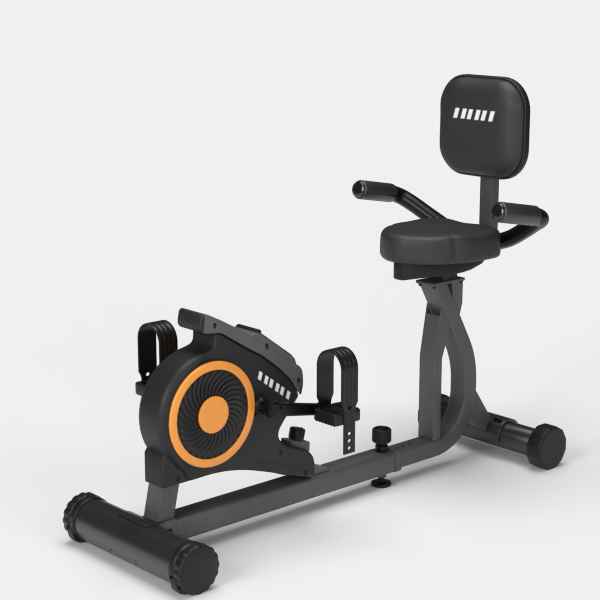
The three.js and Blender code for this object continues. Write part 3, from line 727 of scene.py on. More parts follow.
class Tree:
    """A Geometry Nodes tree with named inputs, run once on a mesh and turned into a plain mesh."""

    def __init__(self, name: str) -> None:
        """Starts a tree with its geometry in and out."""
        self.group = bpy.data.node_groups.new(name, "GeometryNodeTree")
        self.group.interface.new_socket("Geometry", in_out="INPUT", socket_type="NodeSocketGeometry")
        self.group.interface.new_socket("Geometry", in_out="OUTPUT", socket_type="NodeSocketGeometry")
        self.keys: dict[str, str] = {}
        self.start = self.group.nodes.new("NodeGroupInput")

    def size(self, name: str, kind: str = "NodeSocketFloat") -> bpy.types.NodeSocket:
        """Adds a named input and returns its socket."""
        self.keys[name] = self.group.interface.new_socket(name, in_out="INPUT", socket_type=kind).identifier
        return next(s for s in self.start.outputs if s.identifier == self.keys[name])

    def node(self, kind: str, settings: dict | None = None, inputs: dict | None = None) -> bpy.types.Node:
        """Adds a node with its settings, then its values and links.

        Args:
            kind: Node type.
            settings: Properties, set first.
            inputs: Values or sockets by socket name or index.

        Returns:
            The node.
        """
        made = self.group.nodes.new(kind)
        for key, value in (settings or {}).items():
            setattr(made, key, value)
        for key, value in (inputs or {}).items():
            if isinstance(value, bpy.types.NodeSocket):
                self.group.links.new(value, made.inputs[key])
            else:
                made.inputs[key].default_value = value
        return made

    def end(self, instances: bpy.types.NodeSocket) -> None:
        """Realizes the instances and sets their material.

        Args:
            instances: What to realize.
        """
        solid = self.node("GeometryNodeRealizeInstances", None, {"Geometry": instances})
        finish = self.size("Finish", "NodeSocketMaterial")
        dressed = self.node("GeometryNodeSetMaterial", None,
                            {"Geometry": solid.outputs[0], "Material": finish})
        out = self.group.nodes.new("NodeGroupOutput")
        self.group.links.new(dressed.outputs[0], out.inputs[0])

    def run(self, mesh: bpy.types.Mesh, slot: str, **sizes: object) -> bpy.types.Mesh:
        """Runs the tree on a mesh and returns the plain result.

        Args:
            mesh: Mesh that the tree starts from.
            slot: The finish of the result.
            sizes: Values of the named inputs.

        Returns:
            The mesh.
        """
        piece = bench(mesh)
        step = piece.modifiers.new("repeat", "NODES")
        step.node_group = self.group
        for name, value in sizes.items():
            step[self.keys[name]] = value
        step[self.keys["Finish"]] = MATERIALS[slot]
        return evaluated(piece)


def round_array() -> Tree:
    """Copies of one shape drawn about Z at the origin, spread round the axis, then turned and moved.

    Returns:
        The tree.
    """
    tree = Tree("round_array")
    count = tree.size("Count", "NodeSocketInt")
    step = tree.size("Step")
    turn = tree.size("Turn", "NodeSocketVector")
    centre = tree.size("Centre", "NodeSocketVector")
    line = tree.node("GeometryNodeMeshLine", None, {"Count": count, "Offset": (0, 0, 0)})
    index = tree.node("GeometryNodeInputIndex")
    angle = tree.node("ShaderNodeMath", {"operation": "MULTIPLY"}, {0: index.outputs[0], 1: step})
    spin = tree.node("ShaderNodeCombineXYZ", None, {"Z": angle.outputs[0]})
    spread = tree.node("GeometryNodeInstanceOnPoints", None, {
        "Points": line.outputs[0], "Instance": tree.start.outputs[0], "Rotation": spin.outputs[0]})
    solid = tree.node("GeometryNodeRealizeInstances", None, {"Geometry": spread.outputs[0]})
    moved = tree.node("GeometryNodeTransform", None, {
        "Geometry": solid.outputs[0], "Translation": centre, "Rotation": turn})
    tree.end(moved.outputs[0])
    return tree


def bead_run() -> Tree:
    """Small rounded beads along a line of edges, such as stitches, each turned along the line.

    Returns:
        The tree.
    """
    tree = Tree("bead_run")
    pitch, length, radius = tree.size("Pitch"), tree.size("Length"), tree.size("Radius")
    curve = tree.node("GeometryNodeMeshToCurve", None, {0: tree.start.outputs[0]})
    points = tree.node("GeometryNodeCurveToPoints", {"mode": "LENGTH"},
                       {"Curve": curve.outputs[0], "Length": pitch})
    size = tree.node("ShaderNodeCombineXYZ", None, {"X": radius, "Y": radius, "Z": length})
    bead = tree.node("GeometryNodeMeshIcoSphere", None, {"Radius": 1.0, "Subdivisions": 1})
    spread = tree.node("GeometryNodeInstanceOnPoints", None, {
        "Points": points.outputs[0], "Instance": bead.outputs[0],
        "Rotation": points.outputs["Rotation"], "Scale": size.outputs[0]})
    tree.end(spread.outputs[0])
    return tree


def screw_set() -> Tree:
    """A domed screw with a six-sided head on each point, turned so that it faces one way.

    Returns:
        The tree.
    """
    tree = Tree("screw_set")
    radius, height, turn = tree.size("Radius"), tree.size("Height"), tree.size("Turn", "NodeSocketVector")
    washer = tree.node("GeometryNodeMeshCylinder", None, {"Vertices": 24, "Radius": 1.0, "Depth": 0.35})
    head = tree.node("GeometryNodeMeshCylinder", None, {"Vertices": 6, "Radius": 0.72, "Depth": 1.6})
    lifted = tree.node("GeometryNodeTransform", None,
                       {"Geometry": head.outputs[0], "Translation": (0, 0, 0.5)})
    both = tree.node("GeometryNodeJoinGeometry")
    tree.group.links.new(washer.outputs[0], both.inputs[0])
    tree.group.links.new(lifted.outputs[0], both.inputs[0])
    size = tree.node("ShaderNodeCombineXYZ", None, {"X": radius, "Y": radius, "Z": height})
    spread = tree.node("GeometryNodeInstanceOnPoints", None, {
        "Points": tree.start.outputs[0], "Instance": both.outputs[0], "Rotation": turn,
        "Scale": size.outputs[0]})
    tree.end(spread.outputs[0])
    return tree


ROUND_ARRAY, BEAD_RUN, SCREW_SET = round_array(), bead_run(), screw_set()
TURN_TO_LEFT = (math.pi / 2, 0.0, 0.0)  # turns +Z to -Y, the rider's left


def spots(points: Iterable[Sequence[float]], joined: bool = False) -> bpy.types.Mesh:
    """Mesh of points, or of the closed line through them.

    Args:
        points: Places in the row frame.
        joined: Join them into a closed line.

    Returns:
        The mesh.
    """
    places = [tuple(p) for p in points]
    edges = [(i, (i + 1) % len(places)) for i in range(len(places))] if joined else []
    mesh = bpy.data.meshes.new("spots")
    mesh.from_pydata(places, edges, [])
    return mesh


# ---- Front of the bike ---------------------------------------------------------------------------


@dataclass
class FrontFoot:
    """Front stabilizer with its end caps, transport wheels, saddle block and bolts."""

    radius: float = 48.0
    half: float = 170.0
    height: float = 53.0
    crest: float = 53.0
    crests: int = 16
    wheel: tuple[float, float] = (-22.0, 31.0)
    wheel_radius: float = 28.0
    body: str = "front_frame"

    def tube(self) -> bpy.types.Mesh:
        """Tube with a shallow groove where each cap's collar meets it, and two drain notches.

        Returns:
            The mesh.
        """
        r, h = self.radius, self.half
        profile = [(r - 3, -h), (r - 0.8, -h), (r, -h + 1.2), (r, h - 1.2), (r - 0.8, h), (r - 3, h)]
        tube = turned(profile, 0, self.height, 96)
        notches = [slab(Plane.FRONT, [(y - 1.6, 28), (y + 1.6, 28), (y + 1.0, 38), (y - 1.0, 38)], -50, -36,
                        0.3)
                   for y in (38.9, -50.2)]
        return combined(Join.CUT, tube, *notches)

    def cap(self) -> bpy.types.Mesh:
        """Left cap: a smooth collar, a scalloped crown at the end, and the pocket of its wheel.

        Returns:
            The mesh.
        """
        steps = self.crests * 8
        rings = []
        for y, r, wave in [(-170.5, 45, 0), (-170.5, 49.4, 0), (-172, 50.6, 0), (-186, 50.8, 0),
                           (-188, 49.2, 0),
                           (-190, 49.2, 0), (-192, 51.0, 0.6), (-194, 51.6, 1.2), (-210.5, 51.6, 1.2),
                           (-212.1, 50.6, 1.2), (-212.5, 49.6, 1.2), (-212.5, 20, 0)]:
            turns = full_turn(steps)
            sizes = [min(r + wave * (1 - 2 * abs(math.sin(t * self.crests / 2)) ** 3), self.crest)
                     for t in turns]
            rings.append([row(s * math.cos(t), y, self.height + s * math.sin(t))
                          for t, s in zip(turns, sizes)])
        head = skinned(rings)
        x, z = self.wheel
        pocket = rod(self.wheel_radius + 4, x, z, -200.5, -175.5, 1.0)
        mouth = slab(Plane.SIDE, [(x - 40, z - 26), (x, z - 26), (x, z + 14), (x - 40, z + 14)], -200.5,
                     -175.5, 1)
        return combined(Join.CUT, head, pocket, mouth)

    def roller(self) -> bpy.types.Mesh:
        """Left transport wheel with a rounded tread and a grooved hub.

        Returns:
            The mesh.
        """
        r = self.wheel_radius
        profile = [(5, -198), (10, -198), (11, -196.5), (20, -196.5), (21.5, -198), (r - 2.5, -198),
                   (r, -195.5),
                   (r, -189.2), (r - 0.8, -188), (r, -186.8), (r, -180.5), (r - 2.5, -178), (21.5, -178),
                   (20, -179.5), (11, -179.5), (10, -178), (5, -178)]
        return turned(profile, *self.wheel, 56)

    def pin(self) -> bpy.types.Mesh:
        """Axle of the left transport wheel."""
        return rod(4, *self.wheel, -203, -174, 0.4, 24)

    def saddle(self) -> bpy.types.Mesh:
        """Curved band over the tube in front of the upright.

        Returns:
            The mesh.
        """
        low, high = self.radius + 0.4, self.radius + 2.8
        band = [*arc(0, self.height, high, 40, 104, 20), *arc(0, self.height, low, 104, 40, 20)]
        return slab(Plane.SIDE, band, -44, 58, 0.6)

    def build(self) -> None:
        """Makes and dresses every piece."""
        show("front_stabilizer_tube", self.tube(), "gloss_coat", self.body, "front_stabilizer")
        cap, roller = merged(self.cap(), self.pin()), self.roller()
        show("front_cap_l", cap, "black_plastic", self.body, "front_cap_left", sharp=40)
        show("front_cap_r", flipped(cap), "black_plastic", self.body, "front_cap_right", sharp=40)
        show("roller_l", roller, "rubber", "wheel_left", "transport_wheel_left")
        show("roller_r", flipped(roller), "rubber", "wheel_right", "transport_wheel_right")
        block = eased(copied("front_saddle"), 1.8)
        ahead = slab(Plane.SIDE, [(0, 20), (56, 20), (48, 110), (0, 110)], -60, 60, 0.0, 1)
        show("front_saddle_block", combined(Join.COMMON, block.copy(), ahead), "gloss_coat", self.body,
             "front_saddle")
        show("rail_root", combined(Join.CUT, block, ahead), "frame_coat", self.body)
        show("front_band", self.saddle(), "gloss_coat", self.body)
        places = [row(x, -31.4, z) for x, z in [(30, 78), (62, 66)]]
        bolts = SCREW_SET.run(spots(places), "black_coat", Radius=8 * MM, Height=4.2 * MM, Turn=TURN_TO_LEFT)
        show("front_bolts_l", bolts, "black_coat", self.body, "front_bolt_left")
        show("front_bolts_r", flipped(bolts), "black_coat", self.body, "front_bolt_right")


@dataclass
class Rail:
    """Sliding rail's outer tube, the upright under the casing, the lock and the levelling foot."""

    lock_x: float = 742.0
    ribs: int = 20
    body: str = "front_frame"

    def lock(self) -> bpy.types.Mesh:
        """Pull knob: ribbed head with a raised bar in its dished top, a neck and the pin.

        Returns:
            The mesh.
        """
        x = self.lock_x

        def stack(profile: Flat, sides: int = 56) -> bpy.types.Mesh:
            """Solid turned about the knob's vertical axis, from (radius, z)."""
            turns = full_turn(sides)
            return skinned([[row(x + r * math.cos(t), r * math.sin(t), z) for t in turns]
                            for r, z in profile])

        head = stack([(0, 112), (19, 112), (21.4, 114), (21.4, 143), (20.4, 146.5), (18, 147.6),
                      (16.5, 146.5),
                      (16, 141.5), (0, 141)])
        neck = stack([(0, 74), (4.2, 74), (5, 76), (5, 105), (10.6, 105), (11, 106), (11, 111.9), (0, 111.9)],
                     32)
        bar = slab(Plane.PLAN, rounded_rect(x, 0, 17, 3.6, 3.2), 141.2, 147.6, 1.2)
        rib = slab(Plane.PLAN, [(21.0, -1.5), (23.2, -1.2), (23.6, 0), (23.2, 1.2), (21.0, 1.5)], 115, 144.5,
                   0.7)
        centred(rib)
        ribs = ROUND_ARRAY.run(rib, "black_plastic", Count=self.ribs, Step=2 * math.pi / self.ribs,
                               Turn=(0.0, 0.0, 0.0), Centre=row(x, 0, 0))
        return merged(head, neck, bar, ribs)

    def foot(self) -> bpy.types.Mesh:
        """Levelling foot: disc with a rounded rim, nut and stem.

        Returns:
            The mesh.
        """
        x = self.lock_x
        turns = full_turn(48)
        profile = [(0, 0), (23, 0), (25, 1.5), (25, 5.5), (23.6, 7.4), (12, 8.6), (0, 8.6)]
        disc = skinned([[row(x + r * math.cos(t), r * math.sin(t), z) for t in turns] for r, z in profile])
        nut = slab(Plane.PLAN, arc(x, 0, 11, 0, 360, 6)[:-1], 8.8, 14, 0.6)
        stem = slab(Plane.PLAN, arc(x, 0, 6, 0, 360, 24)[:-1], 13, 38, 0.4)
        return merged(disc, nut, stem)

    def build(self) -> None:
        """Makes and dresses every piece."""
        show("rail_tube", eased(copied("main_rail"), 1.0, 2), "frame_coat", self.body, "main_rail", sharp=40)
        show("upright_tube", eased(copied("front_upright"), 4.0, 4), "frame_coat", self.body, "front_upright")
        show("lock_pull", self.lock(), "black_plastic", "lock_knob", "lock_knob")
        show("levelling_foot", self.foot(), "rubber", "support_foot", "support_foot")
        lip = slab(Plane.FRONT, rounded_rect(0, 62.5, 32.6, 27.1, 8.2), 762, 779.8, 1.2)
        bore = slab(Plane.FRONT, rounded_rect(0, 62.5, 30.6, 25.1, 6.5), 755, 785, 0.2)
        show("rail_collar", combined(Join.CUT, lip, bore), "frame_coat", self.body)
        mark = slab(Plane.PLAN, rounded_rect(0, 0, 15, 15, 14.6, 8), 88.3, 104, 1.0)
        mark.transform(Matrix.Translation((self.lock_x * MM, 0, 0)))
        show("lock_boss", mark, "black_coat", self.body)


# ---- Drive casing --------------------------------------------------------------------------------


@dataclass
class Casing:
    """The two dark halves, the lighter spine cover, the display, the rings and the resistance knob."""

    drum: tuple[float, float] = (172.0, 313.0)
    drum_radius: float = 137.0
    half: float = 40.0
    pad: float = 46.0
    ring: tuple[float, float] = (99.5, 118.0)
    badge: float = 41.0
    crank: tuple[float, float] = (312.0, 304.0)
    fins: int = 32
    crisp: float = 38.0  # edges above this angle stay sharp, in degrees
    round_side: float = 5.5
    round_drum: float = 17.0
    # x, z and half width of the wall at each screw
    casing_screws: tuple = ((374, 178, 40), (451, 111, 40), (84, 184, 34))
    spine_screws: tuple = ((185, 508), (333, 436), (427, 339))
    nose_end: float = 157.5
    # front and rear end of the display's underside
    display: tuple = ((306, 462), (408, 388))
    body: str = "front_frame"
    spine_line: tuple = ((188, 489), (203, 488), (245, 461), (285, 436), (319, 417), (365, 382), (403, 348),
                         (433, 303))

    def outline(self) -> list[tuple[float, float]]:
        """Side outline of the dark casing without its front foot.

        Returns:
            The points.
        """
        x, z = self.drum
        waist = [(425, 293), (410, 277), (397, 262), (381, 244), (372, 232), (369, 218), (376, 204),
                 (397, 188)]
        foot = [(425, 178), (454, 168), (466, 158), (474, 149), (478, 143), (484, 120), (482, 91.5)]
        belly = [(440, 104), (388, 120), (354, 134), (318, 146), (286, 156), (254, 164), (218, 170),
                 (183, 173),
                 (150, 173), (113, 172)]
        drum = arc(x, z, self.drum_radius, 236, 94, 48)
        return tidy(smooth([*self.spine_line, *waist, *foot, *belly, *drum, (182, 455), (188, 466)], 1))

    def wall(self) -> bpy.types.Mesh:
        """Left half as a solid, its side edge rounded more round the drum.

        Returns:
            The mesh.
        """
        points = self.outline()
        x, z = self.drum
        share = []
        for u, v in points:
            turn = math.degrees(math.atan2(v - z, u - x)) % 360
            on_drum = abs(math.hypot(u - x, v - z) - self.drum_radius) < 3
            edge = min(turn - 92, 240 - turn) / 18 if on_drum else 0.0
            t = min(max(edge, 0.0), 1.0)
            share.append(t * t * (3 - 2 * t))
        rounds = [self.round_side + (self.round_drum - self.round_side) * s for s in share]
        halves = [self.half + (self.pad - 0.6 - self.half) * s for s in share]
        rings = [[row(u, -0.15, v) for u, v in points]]
        for i in range(9):
            t = math.pi / 2 * i / 8
            line = inset(points, [r * (1 - math.cos(t)) for r in rounds])
            rings.append([row(u, -(h - r + r * math.sin(t)), v)
                          for (u, v), h, r in zip(line, halves, rounds)])
        under = inset(points, [r + 1.2 for r in rounds])
        rings.append([row(u, -self.half, v) for u, v in under])
        return skinned(rings)

    def half_shell(self) -> bpy.types.Mesh:
        """Left half: wall, pad and front foot, hollow inside, with its openings and screw recesses.

        Returns:
            The mesh.
        """
        x, z = self.drum
        pad = turned([(0, -20), (119.5, -20), (119.5, -45.0), (118.9, -45.8), (118.2, -46), (0, -46)], x, z,
                     96)
        foot = [(46, 170), (46, 236), (64, 262), (104, 262), (150, 205), (150, 171)]
        boot = slab(Plane.SIDE, foot, -34, 6, 3.5, 4)
        solid = combined(Join.WELD, self.wall(), pad, boot)
        inner = inset(self.outline(), [4.0] * len(self.outline()))
        hollow = slab(Plane.SIDE, inner, -36, 5, 0.2, 1)
        shaft = [(33.5, 92), (78.5, 92), (103.3, 205.2), (58.3, 205.2)]
        room = slab(Plane.SIDE, shaft, -25.6, 25.6, 0.2, 1)
        socket = slab(Plane.SIDE, [(427.6, 149.6), (484.4, 149.6), (484.4, 195), (427.6, 195)], -19.4, 19.4,
                      0.2, 1)
        recesses = [slab(Plane.SIDE, rounded_rect(u, v, 4.4, 6.2, 4.2), -60, 1.8 - h, 0.3)
                    for u, v, h in self.casing_screws]
        beyond = slab(Plane.SIDE, [(-50, 0), (600, 0), (600, 700), (-50, 700)], -0.15, 40, 0.0, 1)
        seam = [(300, 173.2), (345, 162.2), (480, 106.2), (480, 104.6), (345, 160.4), (300, 171.4)]
        groove = slab(Plane.SIDE, seam, -60, -38.8, 0.2, 1)
        bore = rod(13, *self.crank, -60, -20, 0.2)
        return combined(Join.CUT, solid, hollow, room, socket, bore, groove, beyond, *recesses)

    def spine(self) -> bpy.types.Mesh:
        """Lighter cover: its nose narrows to the front and has a crease behind it.

        Returns:
            The mesh.
        """
        top = [(150, 528), (152, 533), (156, 536.5), (163, 536.5), (182, 527), (204, 516), (238, 497),
               (272, 478), (304, 459), (336, 436), (370, 411), (405, 386), (430, 374), (440, 362), (442, 350)]
        low = [(443, 325), (436, 304), *[(u + 0.4, v + 0.6) for u, v in reversed(self.spine_line[1:])]]
        nose = [(178, 490.5), (166, 492), (156, 495.5), (150, 500), (146, 508)]
        points = tidy(smooth([*top, *low, *nose], 1))
        rings = []
        for i in range(13):
            t = math.pi * (i / 12 - 0.5)
            ring = []
            for u, v in inset(points, [4.5 * (1 - math.cos(t))] * len(points)):
                taper = 1 - 0.07 * min(max((165 - u) / 20, 0), 1)
                ring.append(row(u, (38.5 * (1 if t > 0 else -1) + 4.5 * math.sin(t)) * taper, v))
            if abs(t) > 1e-6:
                rings.append(ring)
        cover = skinned(rings)
        under = [(196, 511), (300, 453), (402, 380), (426, 368), (437, 345), (437, 270), (196, 430)]
        hollow = slab(Plane.SIDE, under, -40.0, 40.0, 0.2, 1)
        tools = [slab(Plane.SIDE, rounded_rect(u, v, 4.4, 6.6, 4.2), y0, y1, 0.3)
                 for u, v in self.spine_screws for y0, y1 in [(-60, -41.4), (41.4, 60)]]
        return combined(Join.CUT, cover, hollow, *tools)

    def surround(self) -> bpy.types.Mesh:
        """Raised bed of the display: it follows the cover's slope and runs out to the rear.

        Returns:
            The mesh.
        """
        (x, z), (u, v) = self.display
        length = math.hypot(u - x, v - z)
        along, out = ((u - x) / length, (v - z) / length), (-(v - z) / length, (u - x) / length)

        def at(s: float, o: float) -> tuple[float, float]:
            """Side-view point at s along the cover and o out from it."""
            return x + s * along[0] + o * out[0], z + s * along[1] + o * out[1]

        bed = [at(s, o)
               for s, o in [(-16, -6), (152, -6), (141, 4), (133, 9), (124, 11), (6, 11), (-4, 8), (-11, 2)]]
        well = [at(s, o) for s, o in [(3, 0.9), (123, 0.9), (123, 30), (3, 30)]]
        return combined(Join.CUT, slab(Plane.SIDE, bed, -40, 40, 3.0, 4),
                        slab(Plane.SIDE, well, -34.5, 34.5, 0.0, 1))

    def recess_shade_discs(self) -> bpy.types.Mesh:
        """Black discs at the bottom of the shallow screw recesses of both sides: painted shade that stands in
        for deep, dark recesses.

        Returns:
            The mesh.
        """
        left = [slab(Plane.SIDE, rounded_rect(u, v, 4.1, 5.9, 4.0), 1.2 - h, 1.79 - h, 0.2)
                for u, v, h in self.casing_screws]
        left += [slab(Plane.SIDE, rounded_rect(u, v, 4.1, 6.3, 4.0), -42.0, -41.42, 0.2)
                 for u, v in self.spine_screws]
        return merged(*left, *[flipped(mesh) for mesh in left])

    def ring_trim(self) -> bpy.types.Mesh:
        """Left ring with softly rounded rims.

        Returns:
            The mesh.
        """
        low, high = self.ring
        face = -self.pad - 5
        profile = [(low, face + 4.7), (low, face + 0.9), (low + 0.9, face), (high - 1.6, face),
                   (high - 0.4, face + 0.8),
                   (high, face + 2), (high, face + 4.7)]
        return turned(profile, *self.drum, 128)

    def swirl(self) -> tuple[bpy.types.Mesh, bpy.types.Mesh]:
        """Left disc: a shallow dish, and the curved fins on it from the badge out to the ring; the dish is
        dressed near-black as painted shade in the gaps between the fins.

        Returns:
            Both meshes, in that order.
        """
        x, z = self.drum
        back = -self.pad - 0.3
        dish = turned([(0, back), (98.9, back), (98.9, back - 1.8), (96, back - 1.6), (88, back - 0.6),
                       (0, back - 0.6)],
                      x, z, 96)
        line = []
        for i in range(15):
            share = i / 14
            radius = 43 + 52 * share
            turn = -0.5 * share ** 1.5
            line.append((radius * math.cos(turn), radius * math.sin(turn)))
        rings = []
        for i, (u, v) in enumerate(line):
            a, b = line[max(i - 1, 0)], line[min(i + 1, len(line) - 1)]
            along = Vector((b[0] - a[0], b[1] - a[1])).normalized()
            across = Vector((-along.y, along.x))
            share = i / 14
            wide, tall = 2.4 + 3.6 * share, 3.4 - 1.0 * abs(2 * share - 1) ** 3
            rings.append([((u + across.x * s * wide) * MM, (v + across.y * s * wide) * MM, h * MM)
                          for s, h in [(-1, 0.4), (-0.9, tall * 0.45), (0.75, tall), (1, tall * 0.8),
                                       (1, 0.4)]])
        fins = ROUND_ARRAY.run(skinned(rings), "casing_plastic", Count=self.fins,
                               Step=2 * math.pi / self.fins,
                               Turn=TURN_TO_LEFT, Centre=row(x, back - 0.3, z))
        return fins, dish

    def medal(self) -> bpy.types.Mesh:
        """Left badge: a plain crowned disc.

        Returns:
            The mesh.
        """
        r, back = self.badge, -self.pad - 3
        face = [(r * math.cos(t), back - 3 - 1.3 * math.sin(t)) for t in [i * math.pi / 16 for i in range(8)]]
        return turned([(0, back), (r, back), *face, (0, back - 4.3)], *self.drum, 96)

    def flange(self) -> bpy.types.Mesh:
        """Left bearing cover with six bumps round it.

        Returns:
            The mesh.
        """
        x, z = self.crank
        y = -self.half
        core = turned([(12, y - 0.3), (21, y - 0.3), (21, y - 6), (19, y - 8), (16.5, y - 12), (12, y - 12)],
                      x, z, 64)
        bump = slab(Plane.PLAN, rounded_rect(22, 0, 5, 5.6, 4.6, 4), 0.4, 8.5, 1.6)
        centred(bump)
        bumps = ROUND_ARRAY.run(bump, "black_plastic", Count=6, Step=math.pi / 3, Turn=TURN_TO_LEFT,
                                Centre=row(x, y, z))
        return merged(core, bumps)

    def knob(self) -> bpy.types.Mesh:
        """Fluted resistance knob on its sloping socket.

        Returns:
            The mesh.
        """
        turns = full_turn(48)
        profile = [(0, 2), (16.5, 2), (17, 3), (15.6, 26), (14.4, 27.8), (12, 28), (0, 27.6)]
        core = skinned([[(r * MM * math.cos(t), r * MM * math.sin(t), h * MM) for t in turns]
                        for r, h in profile])
        rib = slab(Plane.PLAN, [(15.2, -1.5), (17.8, -0.9), (18, 0), (17.8, 0.9), (15.2, 1.5)], 3.5, 26.5,
                   0.6)
        pointer = slab(Plane.PLAN, rounded_rect(10, 0, 4.6, 1.3, 1.2), 27, 29, 0.4)
        centred(rib, pointer)
        turn = (0.0, math.radians(13.5), 0.0)
        ribs = ROUND_ARRAY.run(rib, "black_plastic", Count=18, Step=math.pi / 9, Turn=turn,
                               Centre=row(457, 0, 181))
        rest = merged(core, pointer)
        rest.transform(Matrix.Translation(row(457, 0, 181)) @ Matrix.Rotation(turn[1], 4, "Y"))
        return merged(rest, ribs)

    def build(self) -> None:
        """Makes and dresses every piece."""
        pairs = [("casing_half", self.half_shell(), "casing_plastic", "casing"),
                 ("ring", self.ring_trim(), "accent_plastic", "ring_trim"),
                 ("medal", self.medal(), "accent_plastic", "badge"),
                 ("crank_flange", self.flange(), "black_plastic", "bearing_cover")]
        for name, mesh, slot, node in pairs:
            show(f"{name}_r", flipped(mesh), slot, self.body, f"{node}_right", sharp=self.crisp)
            show(f"{name}_l", mesh, slot, self.body, f"{node}_left", sharp=self.crisp)
        fins, dish = self.swirl()
        show("swirl_fins_r", flipped(fins), "casing_plastic", self.body, "side_disc_right", sharp=self.crisp)
        show("swirl_fins_l", fins, "casing_plastic", self.body, "side_disc_left", sharp=self.crisp)
        # Painted shade: the dish is near-black, darker than the fins, so the gaps between the fins read deep.
        show("swirl_dish_shade_r", flipped(dish), "black_coat", self.body, sharp=self.crisp)
        show("swirl_dish_shade_l", dish, "black_coat", self.body, sharp=self.crisp)
        cover = self.spine()
        end = self.nose_end
        front = slab(Plane.SIDE, [(60, 480), (end - 4, 480), (end + 4, 580), (60, 580)], -60, 60, 0.0, 1)
        gap = slab(Plane.SIDE, [(60, 480), (end - 3.2, 480), (end + 4.8, 580), (60, 580)], -60, 60, 0.0, 1)
        nose = eased(combined(Join.COMMON, cover.copy(), front), 0.8, 2, 50)
        show("spine", combined(Join.CUT, cover, gap), "grey_plastic", self.body, "spine_cover",
             sharp=self.crisp)
        show("spine_nose", nose, "casing_plastic", self.body, sharp=self.crisp)
        # Painted shade: near-black discs that make the shallow screw recesses read dark.
        show("screw_recess_shade", self.recess_shade_discs(), "black_coat", self.body)
        show("display_bed", self.surround(), "grey_plastic", self.body, sharp=self.crisp)
        show("display_case", eased(copied("monitor_housing"), 1.6), "black_plastic", self.body,
             "monitor_housing")
        show("display_window", eased(copied("monitor_screen"), 0.4, 2), "screen_glass", self.body,
             "monitor_screen")
        show("display_key", eased(copied("monitor_button"), 1.0), "grey_plastic", "monitor_button",
             "monitor_button")
        show("knob_socket", eased(copied("tension_base"), 2.0), "grey_plastic", self.body, "tension_base")
        show("resistance_knob", self.knob(), "black_plastic", "tension_knob", "tension_knob")
        show("rail_tab", eased(copied("casing_tab"), 2.0), "grey_plastic", self.body, "casing_tab")
        dress("steel", "drive_frame")
        dress("rubber", "drive_belt")


